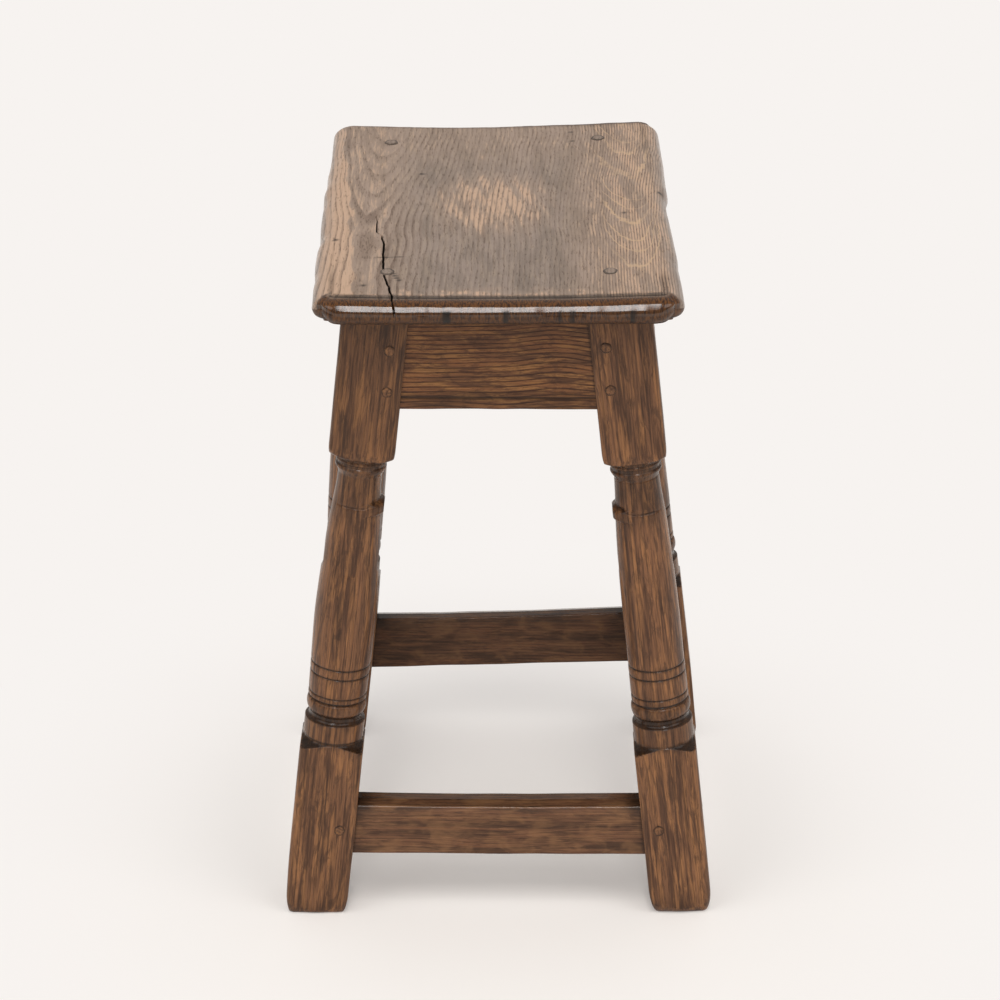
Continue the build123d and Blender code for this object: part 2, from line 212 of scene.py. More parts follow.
def waxedOak(name, look):
    # Oak: wide-pored wood, worn smooth and waxed for centuries. The eye sees a dark line of open pores
    # in each year's early wood, short dashes along the grain, stains, and a soft wax gloss.
    material = bpy.data.materials.new(name)
    material.use_nodes = True
    tree = material.node_tree
    tree.nodes.clear()
    values = dict(look)  # the look's numbers, then the marks, noises and rows below
    for mark in ("ring", "wear", "grime", "polish", "lines", "face", "ray", "rayAmount"):
        values[mark + "Mark"] = addNode(tree, "Attribute", None, "Fac", attribute_name=mark)
    grain = addNode(tree, "Attribute", None, "Vector", attribute_name="grain")
    noises = dict(  # size of a blotch across, through and along the wood, detail, roughness, distortion
        wander=((7, 7, 60), 3, 0.55, 0),
        lineBreaks=((10, 10, 45), 3, 0.6, 0),
        pores=(look["poreSize"], 2, 0.55, 0),
        fibre=(look["fibreSize"], 2, 0.6, 0),
        streak=(look["streakSize"], 4, 0.6, 0.5),
        patch=(look["patchSize"], 5, 0.62, 0.8),
        blotch=(look["blotchSize"], 6, 0.7, 1.2),
        flecks=(look["raySize"], 2, 0.55, 0.6),
        arcs=((9, 9, 14), 3, 0.6, 0),
        ends=((1.2, 7, 3), 3, 0.6, 0),
    )
    for noise, (size, detail, roughness, distortion) in noises.items():
        scaled = addNode(tree, "Mapping", {"Vector": grain, "Scale": tuple(1 / s for s in size)})
        inputs = dict(Vector=scaled, Scale=1, Detail=detail, Roughness=roughness, Distortion=distortion)
        values[noise] = addNode(tree, "TexNoise", inputs)

    # a row: its name, the value it starts from, and what is done to that in turn. RANGE is a smooth step
    # from one range to another
    rows = [
        # growth rings with a slight wander: each begins with a dark line that fades into the late wood
        ("wander", "wander", ("SUBTRACT", 0.5), ("MULTIPLY", "ringWander")),
        ("place", "ringMark", ("ADD", "wander"), ("FRACT",)),
        ("nextLine", "place", ("RANGE", 0.92, 1, 0, 1)),
        ("early", "place", ("RANGE", 0.04, "lineShare", 1, 0), ("MAXIMUM", "nextLine")),
        ("lineBreaks", "lineBreaks", ("RANGE", 0.32, 0.62, "lineLeast", 1)),
        ("depth", "linesMark", ("MULTIPLY", "lineExtra"), ("ADD", "lineDepth")),
        ("line", "early", ("MULTIPLY", "lineBreaks"), ("MULTIPLY", "depth")),
        # pores: dashes as long as the vessels show, mostly in the early wood, drawn wider than they are
        ("gather", "early", ("MULTIPLY", "poreGather"), ("SUBTRACT", "poreEdge")),
        ("pore", "pores", ("ADD", "gather"), ("RANGE", 0, 0.07, 0, 1)),
        ("poreDark", "pore", ("MULTIPLY", "poreDepth")),
        # streaks, golden patches, pale and dark fibres
        ("streaks", "streak", ("RANGE", *look["streakSpread"], 0, 1)),
        ("gold", "patch", ("RANGE", *look["patchSpread"], 0, "patchAmount")),
        ("pale", "fibre", ("RANGE", 0.56, 0.74, 0, "gleam")),
        ("dark", "fibre", ("RANGE", 0.5, 0.3, 0, "fibreDepth")),
        # wear is broken up by patches, fibres and rings, over a share that is even
        ("rubbed", "patch", ("ADD", "fibre"), ("SUBTRACT", 1), ("MULTIPLY", "wearBreaks")),
        ("ringsLeft", "early", ("MULTIPLY", "wearRings")),
        ("begun", "wearMark", ("RANGE", 0.1, 0.6, 0, 1)),
        ("even", "wearMark", ("MULTIPLY", "wearEven")),
        ("broken", "wearMark", ("ADD", "rubbed"), ("SUBTRACT", "ringsLeft"), ("RANGE", 0.25, 0.9, 0, 1)),
        ("worn", "broken", ("MULTIPLY", "begun"), ("MAXIMUM", "even")),
        ("unworn", 1, ("SUBTRACT", "worn")),
        ("blotches", "blotch", ("RANGE", *look["blotchSpread"], 0, "blotchDepth")),
        ("stain", "blotches", ("MULTIPLY", "unworn")),
        ("ends", "ends", ("RANGE", 0.35, 0.65, 0, 1)),
        # wax smooths the surface, pores roughen it
        ("waxed", "polishMark", ("MULTIPLY", "polishDrop")),
        ("poreRough", "pore", ("MULTIPLY", 0.1)),
        ("streakRough", "streak", ("RANGE", 0.3, 0.7, *look["rough"])),
        ("rough", "streakRough", ("SUBTRACT", "waxed"), ("ADD", "poreRough"), ("MAXIMUM", 0.1)),
        ("coating", "polishMark", ("MULTIPLY", "coat")),
        ("lineHeight", "line", ("MULTIPLY", -0.7)),
        ("fibreHeight", "fibre", ("MULTIPLY", -0.8)),
        ("height", "pore", ("MULTIPLY", -0.8), ("ADD", "lineHeight"), ("ADD", "fibreHeight")),
        ("strength", 1, ("SUBTRACT", "polishMark"), ("MULTIPLY", "bump")),
    ]
    if look["rays"] == "flecks":  # short pale flakes across the grain, as on a radial face
        rows.append(("rayLight", "flecks", ("RANGE", *look["raySpread"], 0, "rayAmount")))
    if look["rays"] == "arcs":  # thin pale arcs, broken by the pores
        rows += [
            ("wobble", "arcs", ("MULTIPLY", 0.7)),
            ("arcPlace", "rayMark", ("ADD", "wobble"), ("FRACT",), ("SUBTRACT", 0.5), ("ABSOLUTE",)),
            ("arcBreaks", "patch", ("RANGE", 0.3, 0.5, 0.35, 1)),
            ("arcAmount", "rayAmountMark", ("MULTIPLY", "arcBreaks"), ("MULTIPLY", "rayAmount")),
            ("rayLight", "arcPlace", ("RANGE", 0.02, 0.13, 1, 0), ("MULTIPLY", "arcAmount")),
        ]
    rangeSockets = ("Value", "From Min", "From Max", "To Min", "To Max")
    for result, first, *chain in rows:
        value = values.get(first, first)
        for operation, *parts in chain:
            parts = [value] + [values.get(part, part) for part in parts]
            if operation == "RANGE":
                inputs = dict(zip(rangeSockets, parts))
                value = addNode(tree, "MapRange", inputs, interpolation_type="SMOOTHSTEP")
            else:
                value = addNode(tree, "Math", dict(enumerate(parts)), operation=operation)
        values[result] = value

    # colours are laid over each other, each where its value is
    layers = [
        ("streaks", "middle"),
        ("gold", "light"),
        ("worn", "worn"),
        ("pale", "light"),
        ("dark", "line"),
        ("stain", "blotch"),
        ("line", "line"),
        ("poreDark", "pore"),
        ("rayLight", "ray"),
        ("faceMark", "face"),
        # grime and painted shade: the last layer, towards the darkest colour
        ("grimeMark", "grime"),
    ]
    colour = linearColour(look["dark"])
    for amount, colourName in layers:
        if amount not in values or not look[colourName]:
            continue
        over = linearColour(look[colourName])
        if amount == "faceMark":  # the moulding's end grain, which took up more wax and dirt
            inputs = {0: values["ends"], 6: over, 7: linearColour(look["faceDark"])}
            over = addNode(tree, "Mix", inputs, 2, data_type="RGBA")
        colour = addNode(tree, "Mix", {0: values[amount], 6: colour, 7: over}, 2, data_type="RGBA")

    relief = {"Height": values["height"], "Strength": values["strength"], "Distance": 0.0003}
    inputs = {
        "Base Color": colour,
        "Roughness": values["rough"],
        "Normal": addNode(tree, "Bump", relief),
        "Specular IOR Level": look["specular"],
        "Coat Weight": values["coating"],
        "Coat Roughness": look["coatRough"],
    }
    addNode(tree, "OutputMaterial", {"Surface": addNode(tree, "BsdfPrincipled", inputs)})
    return material


frameLook = dict(
    dark="#503525",
    middle="#7c553a",
    light="#996a43",
    # the colour of worn wood, also painted on the arrises of rails and stretchers as a highlight
    worn="#9a714e",
    line="#3e291c",
    pore="#321f14",
    # the colour of grime and of painted shade in the recesses
    grime="#19110c",
    face=None,
    lineExtra=0.0,
    blotch="#432e21",
    ringWander=0.8,
    lineShare=0.3,
    lineLeast=0.2,
    lineDepth=0.45,
    fibreSize=(1.5, 1.5, 60),
    fibreDepth=0.45,
    gleam=0.4,
    poreSize=(1.2, 1.2, 20),
    poreEdge=0.575,
    poreGather=0.06,
    poreDepth=0.45,
    streakSize=(5.5, 5.5, 110),
    streakSpread=(0.38, 0.6),
    patchSize=(5, 5, 60),
    patchSpread=(0.46, 0.64),
    patchAmount=0.75,
    blotchSize=(7, 7, 34),
    blotchSpread=(0.5, 0.62),
    blotchDepth=0.6,
    wearBreaks=1.0,
    wearRings=0.0,
    wearEven=0.4,
    rays=None,
    raySize=(9, 9, 4),
    raySpread=(0.52, 0.66),
    rayAmount=0.75,
    ray="#8a6445",
    rough=(0.42, 0.32),
    polishDrop=0.2,
    bump=0.35,
    specular=0.2,
    coat=0.3,
    coatRough=0.12,
)
railLook = dict(
    frameLook,
    dark="#5c3d28",
    middle="#7b5031",
    light="#92663c",
    line="#321a0f",
    pore="#321a0f",
    blotch="#432b1f",
    lineDepth=0.95,
    lineLeast=0.55,
    lineShare=0.36,
    ringWander=0.3,
    fibreSize=(1.4, 1.4, 90),
    fibreDepth=0.45,
    poreDepth=0.45,
    streakSpread=(0.36, 0.6),
    blotchDepth=0.5,
    patchAmount=0.8,
)
stretcherLook = dict(
    frameLook,
    rays="flecks",
    lineDepth=0.6,
    lineLeast=0.4,
    fibreSize=(1.4, 1.4, 80),
    patchAmount=0.55,
    blotchDepth=0.4,
    raySize=(12, 8, 22),
    raySpread=(0.42, 0.74),
    rayAmount=0.4,
    ray="#8a6342",
    dark="#463022",
    middle="#694732",
    light="#825c40",
)
seatLook = dict(
    frameLook,
    dark="#85766a",
    middle="#9b887b",
    light="#b19b85",
    worn="#c9a78c",
    line="#5f4838",
    pore="#4d3929",
    # the colour of grime and of painted shade on the moulding's underside and in the quirk, crack and holes
    grime="#17110d",
    face="#66401f",
    faceDark="#341f12",
    blotch="#736559",
    lineExtra=0.3,
    rays="arcs",
    ray="#d2b08c",
    rayAmount=0.65,
    ringWander=0.35,
    lineShare=0.5,
    lineLeast=0.45,
    lineDepth=0.3,
    fibreSize=(1.5, 1.5, 30),
    fibreDepth=0.22,
    gleam=0.3,
    poreSize=(1.2, 1.2, 9),
    poreEdge=0.62,
    poreGather=0.1,
    poreDepth=0.4,
    streakSize=(12, 12, 90),
    streakSpread=(0.3, 0.7),
    patchSize=(3.5, 3.5, 30),
    patchAmount=0.3,
    blotchSize=(16, 16, 26),
    blotchDepth=0.16,
    wearBreaks=1.2,
    wearRings=0.5,
    wearEven=0.5,
    rough=(0.5, 0.4),
    polishDrop=0.3,
    bump=0.4,
    specular=0.3,
    coat=0.6,
    coatRough=0.1,
)
legOak = waxedOak("turnedWaxedOak", frameLook)
railOak = waxedOak("planedWaxedOak", railLook)
stretcherOak = waxedOak("quarterSawnWaxedOak", stretcherLook)
seatOak = waxedOak("wornSeatOak", seatLook)
pegOak = waxedOak("rivenPegOak", dict(frameLook, poreSize=(0.8, 0.8, 0.8), streakSize=(6, 6, 6)))
print("materials made")


# seat board
board = dict(
    halfWidth=139.6,
    halfLength=232.0,
    cornerRadius=18.0,
    turn=0.0149,  # the board sits a little askew on its frame
    shiftX=-3.0,
    frontHeights=(549.3, 547.6, 550.0),  # of the field at its left, middle and right
    rearHeights=(548.6, 546.6, 550.0),
    fieldX=123.0,
    seatTop=549.0,
    widest=536.5,  # height where the moulding stands out furthest
    underside=527.0,
    mouldingWidth=16.6,
    roundWidth=11.5,
    flatInset=(11.5, 13.4, 15.2, 15.7, 16.2, 16.6),  # a sloping flat, an arris and a quirk beside the field
    flatDrop=(1.9, 1.4, 0.8, 1.6, 1.5, 0.0),
    lowerWidth=8.3,
    lowerDrop=8.1,
    filletWidth=0.3,
    rearCrispness=0.3,
    maxY=232.9,  # the turned board stays inside this
    # how far the worn sides stand out, at each y
    sideY=(-232, -200, -177, -156, -135, -113, -91, -68, -45, -22, 2, 27, 40, 52, 77, 104, 131, 232),
    leftExtra=(0, 0, 0.4, -0.2, 1, 1.5, 1.4, -0.4, 0.4, 1.1, 1.2, 1, 1.4, 1.7, 0.3, 0.8, -0.5, 0),
    rightExtra=(1.2, 1.7, 1.6, 1.1, 0.6, 1.3, 1, 0.4, -0.3, -0.6, -1.4, -1.4, 0.5, 1.2, 0.8, 1, 1.4, 1.4),
    cornerCut=3.6,  # how far the front corners are worn in at and below their widest line
    cornerLift=3.6,
    endBow=0.6,  # the front edge draws back a little towards its ends
)
crack = dict(  # its path over the top, as x at each y, and how deep and wide it gapes
    y=(-240.0, -213.0, -182.0, -157.0, -126.0, -95.0, -75.0, -68.0, -38.0, -25.0),
    x=(-76.5, -79.5, -84.2, -87.3, -87.6, -88.3, -90.5, -94.4, -95.2, -95.5),
    gape=(0.6, 0.75, 0.8, 0.7, 0.9, 0.85, 0.7, 0.5, 0.35, 0.0),
    depth=6.0,
    column=-87.0,
)
figure = dict(  # the growth rings over the top: nested arches whose tips point to the front
    pithX=(-106.0, -103.0, -100.0, -93.0),
    pithY=(-230.0, -30.0, 45.0, 200.0),
    depth=46.0,
    climb=0.06,  # how fast the rings rise towards the rear
    archFront=-30.0,
    ringWidth=3.0,
    leftWidth=1.9,
    radii=(0.0, 10.0, 115.0, 140.0, 240.0),  # beyond the arches, to the right
    counts=(0.0, 3.0, 31.0, 40.0, 86.0),
    rayMiddle=111.0,  # pale arcs near the right edge: their tips and how steeply their arms rise
    rayTips=(-190.0, -138.0, -112.0, -84.0, -32.0, -8.0, 14.0, 105.0, 150.0, 172.0, 260.0),
    rayArms=(58.0, 70.0),
)
seatMarkings = dict(
    # x, y and half width: six holes, four gouges by a peg and one at the right edge
    spots=(
        *((-61, 86, 1.7), (-126, -89, 1.8), (-101, -195, 1.8), (102, -24, 1.8), (64.5, 200, 1.4)),
        *((64.7, 174, 1.4), (-78.5, -167, 1.5), (-77.6, -172, 1.5), (-76.6, -177, 1.5)),
        *((-74.6, -182, 1.6), (133.4, 33.3, 1.8)),
    ),
    frontEdge=((-38, 3.5), (6, 2), (47, 1.5), (56, 1.5), (101, 2)),  # x and half width
    tanY=(-232, -175, -88, 4, 110, 214),  # the pale band at the left: its edge
    tanX=(-106, -108, -113, -117, -125, -131),
)


def boardTop(x, y):
    # height of the field: a curve through three heights across, changing evenly from front to rear
    along = (y / board["halfLength"] + 1) / 2
    ends = zip(board["frontHeights"], board["rearHeights"])
    left, middle, rightSide = (front + (rear - front) * along for front, rear in ends)
    across = np.clip(x / board["fieldX"], -1, 1)
    return middle + (rightSide - left) / 2 * across + ((rightSide + left) / 2 - middle) * across**2


def mouldingSamples(half, fieldPlaces):
    # places across the board and their distance in from its widest line: round, flat, quirk and field
    angles = np.linspace(0, np.pi / 2, 15)
    inset = np.concatenate([board["roundWidth"] * (1 - np.cos(angles)), board["flatInset"][1:]])
    fillet = (board["lowerWidth"], board["lowerWidth"] + board["filletWidth"])
    inset = np.sort(np.concatenate([inset, fillet]))
    places = np.concatenate([-half + inset, fieldPlaces, half - inset[::-1]])
    return places, half - np.abs(places)


def mouldingDrop(inset, crisp):
    # how far the top lies under the field: round, flat and quirk where crisp, a quarter ellipse if worn
    depth = board["seatTop"] - board["widest"]
    roundDrop = depth - board["flatDrop"][0]
    curved = board["flatDrop"][0] + roundDrop * (1 - roundEdge(share(inset, 0, board["roundWidth"])))
    flat = np.interp(inset, board["flatInset"], board["flatDrop"])
    sharp = np.where(inset < board["roundWidth"], curved, flat)
    worn = depth * (1 - roundEdge(share(inset, 0, board["mouldingWidth"])))
    return worn + (sharp - worn) * crisp


def lowerDepth(inset):
    # the moulding's lower part, under the widest line: a quarter ellipse down to a small upright fillet
    width = board["lowerWidth"]
    fillet = share(inset, width, width + board["filletWidth"])
    fillet = fillet * (board["widest"] - board["underside"] - board["lowerDrop"])
    return board["lowerDrop"] * roundEdge(share(inset, 0, width)) + fillet


def sideCrispness(x, y):
    # the side mouldings are crisp near the corners and rubbed smooth between them
    left = np.maximum(0.45 * smoothStep(y, -130, -185), 0.3 * smoothStep(y, 100, 165))
    rightSide = np.maximum(0.7 * smoothStep(y, -160, -185), 0.35 * smoothStep(y, 130, 165))
    return np.where(x < 0, left, rightSide)


fieldHalf = board["halfWidth"] - board["mouldingWidth"]
crackBand = (-92.5, -81.5)  # the columns are close together here
fieldX = [
    np.linspace(-fieldHalf, crackBand[0], 17)[1:],
    np.linspace(*crackBand, 33)[1:],
    np.linspace(crackBand[1], fieldHalf, 100)[1:-1],
]
fieldX = np.concatenate(fieldX)
fieldEnd = board["halfLength"] - board["mouldingWidth"]
fieldY = np.linspace(-fieldEnd, fieldEnd, 206)
placesX, insetX = mouldingSamples(board["halfWidth"], fieldX)
placesY, insetY = mouldingSamples(board["halfLength"], fieldY[1:-1])
gridX, gridY = np.meshgrid(placesX, placesY, indexing="ij")
insetGridX, insetGridY = np.meshgrid(insetX, insetY, indexing="ij")
flatPoints = np.stack([gridX, gridY, np.zeros_like(gridX)], axis=-1)

# columns near the crack follow its path
crackX = np.interp(gridY, crack["y"], crack["x"]) + 0.5 * latticeNoise(flatPoints * (0, 1, 0), 6.0, 71)
follow = np.interp(gridX, (-fieldHalf, crack["column"] - 6, crack["column"] + 6, -45), (0, 1, 1, 0))
fromCrack = np.where(follow > 0.999, gridX - crack["column"], 9.0)
gridX = gridX + follow * (crackX - crack["column"])

topLevel = boardTop(gridX, gridY)
endCrisp = np.where(gridY < 0, 1.0, board["rearCrispness"])
rearNarrow = 1 + 0.9 * smoothStep(gridX, -60, 90) * (gridY > 0)  # the rear moulding narrows to the right
sideDrop = mouldingDrop(insetGridX, sideCrispness(gridX, gridY))
endDrop = mouldingDrop(insetGridY * rearNarrow, endCrisp)
drop = (sideDrop**6 + endDrop**6) ** (1 / 6)  # the larger of the two, rounded over where they meet
edgeDrop = board["seatTop"] - board["widest"]
topZ = topLevel + np.minimum(drop / edgeDrop, 1) * (board["widest"] - topLevel)
lowZ = board["widest"] - np.minimum(lowerDepth(insetGridX), lowerDepth(insetGridY))

# round the corners: a square corner of the grid is drawn in to a quarter circle
cornerX = np.abs(gridX) - (board["halfWidth"] - board["cornerRadius"])
cornerY = np.abs(gridY) - (board["halfLength"] - board["cornerRadius"])
inCorner = (cornerX > 0) & (cornerY > 0)
reach = np.where(inCorner, np.maximum(cornerX, cornerY) / np.maximum(np.hypot(cornerX, cornerY), 1e-9), 1)
outlineX = np.where(inCorner, np.sign(gridX) * (np.abs(gridX) - cornerX * (1 - reach)), gridX)
outlineY = np.where(inCorner, np.sign(gridY) * (np.abs(gridY) - cornerY * (1 - reach)), gridY)

leftSide = np.interp(gridY, board["sideY"], board["leftExtra"]) * smoothStep(gridX, -95, -135)
rightSide = np.interp(gridY, board["sideY"], board["rightExtra"]) * smoothStep(gridX, 95, 135)
outlineX = outlineX - leftSide + rightSide
atCorner = smoothStep(insetGridX, 25, -3) * smoothStep(insetGridY, 25, -3) * (gridY < 0)
bow = share(np.abs(gridX), 100, 140) ** 2 * smoothStep(insetGridY, 30, 0) * (gridY < 0)
outlineY = outlineY + board["endBow"] * bow
cutX, cutY = -np.sign(gridX) * 0.8 * board["cornerCut"] * atCorner, 0.6 * board["cornerCut"] * atCorner
topCut = smoothStep(topZ, 546, 537)
lift = board["cornerLift"] * atCorner
lowLift = lift * (1 + 0.4 * (board["widest"] - lowZ) / (board["widest"] - board["underside"]))
topGrid = np.stack([outlineX + cutX * topCut, outlineY + cutY * topCut, topZ + lift * topCut], axis=-1)
lowGrid = np.stack([outlineX + cutX, outlineY + cutY, lowZ + lowLift], axis=-1)
normals = outwardNormals(topGrid, False)
normals *= np.sign(normals[..., 2:].mean())
edgeNear = smoothStep(np.minimum(insetGridX, insetGridY), 30.0, 0.0)
wavy = 0.30 * layeredNoise(topGrid, (55, 90, 60), 11) + 0.06 * latticeNoise(topGrid, (5, 60, 12), 12)
ragged = 0.16 * layeredNoise(topGrid, (14, 22, 9), 13, 2)
topGrid = topGrid + normals * (wavy - 0.35 + edgeNear * ragged)[..., None]
gape = np.interp(gridY, crack["y"], crack["gape"])
inCrack = np.clip(1 - (fromCrack / np.maximum(gape, 1e-3)) ** 2, 0, 1) * (gape > 0)
topGrid = topGrid - normals * (crack["depth"] * inCrack)[..., None]
lowNoise = 0.45 * layeredNoise(lowGrid, (12, 12, 9), 14, 2) * edgeNear
lowGrid[..., 2] += np.abs(lowNoise) * (np.minimum(insetGridX, insetGridY) > 0.01)
rim = (insetGridX < 0.01) | (insetGridY < 0.01)
lowGrid[rim] = topGrid[rim]


def placeBoard(grid):
    # turns the board about the vertical and shifts it, as it sits on the frame
    cosTurn, sinTurn = np.cos(board["turn"]), np.sin(board["turn"])
    x, y, z = grid[..., 0], grid[..., 1], grid[..., 2]
    newX = x * cosTurn - y * sinTurn + board["shiftX"]
    newY = np.clip(x * sinTurn + y * cosTurn, -board["maxY"], board["maxY"])
    return np.stack([newX, newY, z], axis=-1)


def boardRings(grid):
    # rings as cylinders round a pith under the left side that climbs towards the rear: their sections are
    # nested arches. Left of the arches the rings are tight, to the right wide, then tight again
    x, y, z = grid[..., 0], grid[..., 1], grid[..., 2]
    pithX = np.interp(y, figure["pithY"], figure["pithX"]) + 2.0 * latticeNoise(grid, (400, 50, 400), 31)
    rise = np.log1p(np.exp((y - figure["archFront"]) / 12)) * 12
    depth = figure["depth"] - figure["climb"] * rise - 0.4 * (board["seatTop"] - z)
    across = x - pithX + 0.9 * latticeNoise(grid, (22, 40, 40), 32)
    radius = np.hypot(across, depth) + 0.5 * latticeNoise(grid, (30, 30, 60), 33)
    beyond = np.maximum(radius - figure["depth"], 0)
    toRight = np.interp(beyond, figure["radii"], figure["counts"])
    outside = np.where(across < 0, beyond / figure["leftWidth"], toRight)
    return np.minimum(radius, figure["depth"]) / figure["ringWidth"] + outside


def boardMarks(grid, top):
    # wear, dirt and polish over the board, from its places and their distance in from the edge
    x, y = grid[..., 0], grid[..., 1]
    inset = np.minimum(insetGridX, insetGridY)
    endFrom = np.where(y < 0, -11, -1.5)  # at the front the end's look runs on round the corners
    atEnd = smoothStep(insetGridX - insetGridY, endFrom, endFrom + 5)
    inField = smoothStep(inset, 14.5, 17.0)
    slant = np.stack([x + 0.16 * y, y, 0 * x], axis=-1)
    streaks = 0.5 + 0.6 * latticeNoise(slant, (8, 110, 9), 41)
    ragged = 20 * latticeNoise(grid, (5, 60, 9), 44) + 14 * latticeNoise(grid, (2.6, 50, 9), 49)
    gold = np.exp(-((((x + 3) / 48) ** 2 + ((y - 9 + ragged) / 78) ** 2) ** 2))
    gold = gold * np.clip(0.85 + 0.55 * latticeNoise(slant, (3.4, 34, 9), 47), 0, 1.35)
    gold = gold + 0.6 * hill(x, -11, 9) * hill(y, 134, 16)
    tanEdge = np.interp(y, seatMarkings["tanY"], seatMarkings["tanX"]) + 4 * latticeNoise(grid, (400, 22, 9), 48)
    leftTan = smoothStep(tanEdge - x, -3.0, 3.0) * (1 - 0.5 * atEnd * (1 - inField))
    rightTan = 0.85 * smoothStep(x, 72, 98) * np.clip(0.75 + 0.5 * (streaks - 0.5), 0, 1)
    nearFront = smoothStep(insetGridY + 9 * latticeNoise(grid, (14, 9, 9), 42), 36, 16) * inField * (y < 0)
    nearFront = nearFront * (0.35 + 0.5 * smoothStep(latticeNoise(grid, (3.2, 7, 9), 46), -0.4, 0.5))
    around = np.maximum(0.5 * smoothStep(x, -40, -100), 0.5 * smoothStep(x, 35, 80))
    around = np.maximum(around, 0.42 * smoothStep(y, 50, 180))
    wear = np.maximum(np.maximum(0.9 * gold + nearFront, 1.25 * leftTan), np.maximum(rightTan, around))
    wear = np.clip(wear, 0, 1.25)
    face = smoothStep(inset, 12.2, 10.8) * np.maximum(atEnd, 0.45 * smoothStep(inset, 7, 1))
    wear = wear * (1 - face)
    lines = smoothStep(x, -45, -75) * (1 - 0.6 * smoothStep(x, -98, -110))
    lines = lines * (1 - 1.3 * smoothStep(y, -30, 40)) + smoothStep(x, 60, 90)
    crisp = np.where(insetGridX < insetGridY, sideCrispness(x, y), np.where(y < 0, 1, 0.3))
    # a dark band on the sloping flat, and a dark line in the quirk beside the field painted as its shade;
    # both fainter where the side mouldings are worn
    flat = 0.92 * between(inset, 11.3, 12.2, 14.8, 15.5)
    grime = np.maximum(0.94 * hill(inset, 16.0, 0.55), flat) * crisp
    edge = sum(hill(x, middle, width) for middle, width in seatMarkings["frontEdge"])
    edge = 0.97 * np.clip(1.4 * edge, 0, 1) * (y < 0)
    topEdge = edge * smoothStep(inset, 1.5, 0.5)
    if top:
        # the crack, the holes and the peg's gouges are drawn dark: dirt and painted shade
        grime = np.maximum(grime, smoothStep(inCrack, 0, 0.15))
        spots = sum(hill(x, atX, width) * hill(y, atY, width) for atX, atY, width in seatMarkings["spots"])
        cross = hill(y, 0.13 * (x + 94) - 130, 1.0) * between(x, -94, -92, -73, -71)  # a crack across
        grime = np.maximum(grime, np.clip(1.6 * spots + 0.8 * cross, 0, 0.95))
        # at the ends the round is painted darker just above its widest line, where it turns under: painted
        # shade; the front's stains lie over it
        grime = np.maximum(grime, np.maximum(topEdge, 0.35 * atEnd * smoothStep(inset, 2, 0.3)))
        polish = smoothStep(inset, 11.8, 9.5) * np.maximum(atEnd, 0.4) * (1 - 0.8 * topEdge)
    else:
        # under the widest line the moulding is painted darker towards the underside as shade, with the
        # fillet at the lip left lighter as painted light; the front's stains run down over it
        grime = 0.2 + 0.65 * smoothStep(inset, 2.0, 6.0) - 0.6 * smoothStep(inset, 8.1, 8.3)
        grime = grime + 0.6 * smoothStep(inset, 9, 11)
        grime = np.maximum(grime, edge * smoothStep(inset, 9, 7))
        polish = 0.15 * smoothStep(inset, 4, 0)
        face = 1 + 0 * x
        wear = 0 * x
    # pale rays: arches round a line near the right edge, opening to the rear
    side = x - figure["rayMiddle"] + 3 * latticeNoise(grid, (60, 34, 9), 45)
    arms = figure["rayArms"]
    arch = (np.abs(side) / np.where(side < 0, 25, 17)) ** 2.2 * np.where(side < 0, arms[0], arms[1])
    ray = np.interp(y - arch, figure["rayTips"], np.arange(len(figure["rayTips"])) + 0.5)
    rayBreaks = smoothStep(latticeNoise(grid, (40, 30, 9), 43), -0.4, 0.1)
    rayAmount = between(x, 82, 90, 126, 133) * (0.45 + 0.55 * rayBreaks)
    return dict(
        grain=np.stack([x, grid[..., 2], y], axis=-1),
        ring=boardRings(grid),
        wear=wear,
        grime=grime,
        polish=polish,
        face=face,
        lines=lines,
        ray=ray,
        rayAmount=rayAmount,
    )


topMarks, lowMarks = boardMarks(topGrid, True), boardMarks(lowGrid, False)
for markName in ("wear", "grime", "polish", "face"):
    lowMarks[markName][rim] = topMarks[markName][rim]
makePiece(
    "seatBoard",
    [placeBoard(topGrid), placeBoard(lowGrid)],
    False,
    {key: [topMarks[key], lowMarks[key]] for key in topMarks},
    seatOak,
    ["seat_board"],
)
print("seat board made")


def makeOakPiece(node, grids, marks, finish):
    # a piece of closed tubes, named after its CAD node
    words = node.split("_")
    name = words[0] + "".join(word.title() for word in words[1:])
    marks = {key: [cappedMark(values) for values in parts] for key, parts in marks.items()}
    makePiece(name, [capped(grid) for grid in grids], True, marks, finish, [node])


# turned legs
turning = dict(  # heights along the leg and radii
    corner=35.7,  # half the diagonal of the square post
    footTop=145.5,
    footEnd=152.5,
    collarRadius=24.5,
    coveLow=168.2,
    coveHigh=176.2,
    coveDepth=3.2,
    torusHigh=185.6,
    torusRise=1.7,
    torusFoot=22.5,
    grooveHigh=188.0,
    grooveRadius=21.3,
    neckEnd=380.8,
    neckRadius=17.4,
    coneEnd=386.8,
    coneRadius=20.4,
    bandEnd=388.8,
    upperGrooveEnd=392.0,
    upperGrooveRadius=19.1,
    ridgeEnd=394.7,
    ridgeRadius=20.8,
    shoulderLow=395.2,
    shoulderRadius=20.9,
    shoulderTop=25.2,
    blockFoot=25.3,
    blockLow=399.2,
    blockFull=412.5,
    roundHigh=411.0,
    roundHeight=13.0,
    roundDepth=3.4,
    scribeDepth=0.7,
    innerLower=1.0,  # the block's foot lies this much lower on its inner side
    columnHeights=(189, 228, 255, 275, 294, 316, 337, 350, 359, 368, 381, 384),
    ringBelow=7.4,
    ringAbove=3.6,
    ringRise=4.7,
    scribeWidth=0.85,
    grooveWidth=0.95,
    grooveDepth=1.2,
)
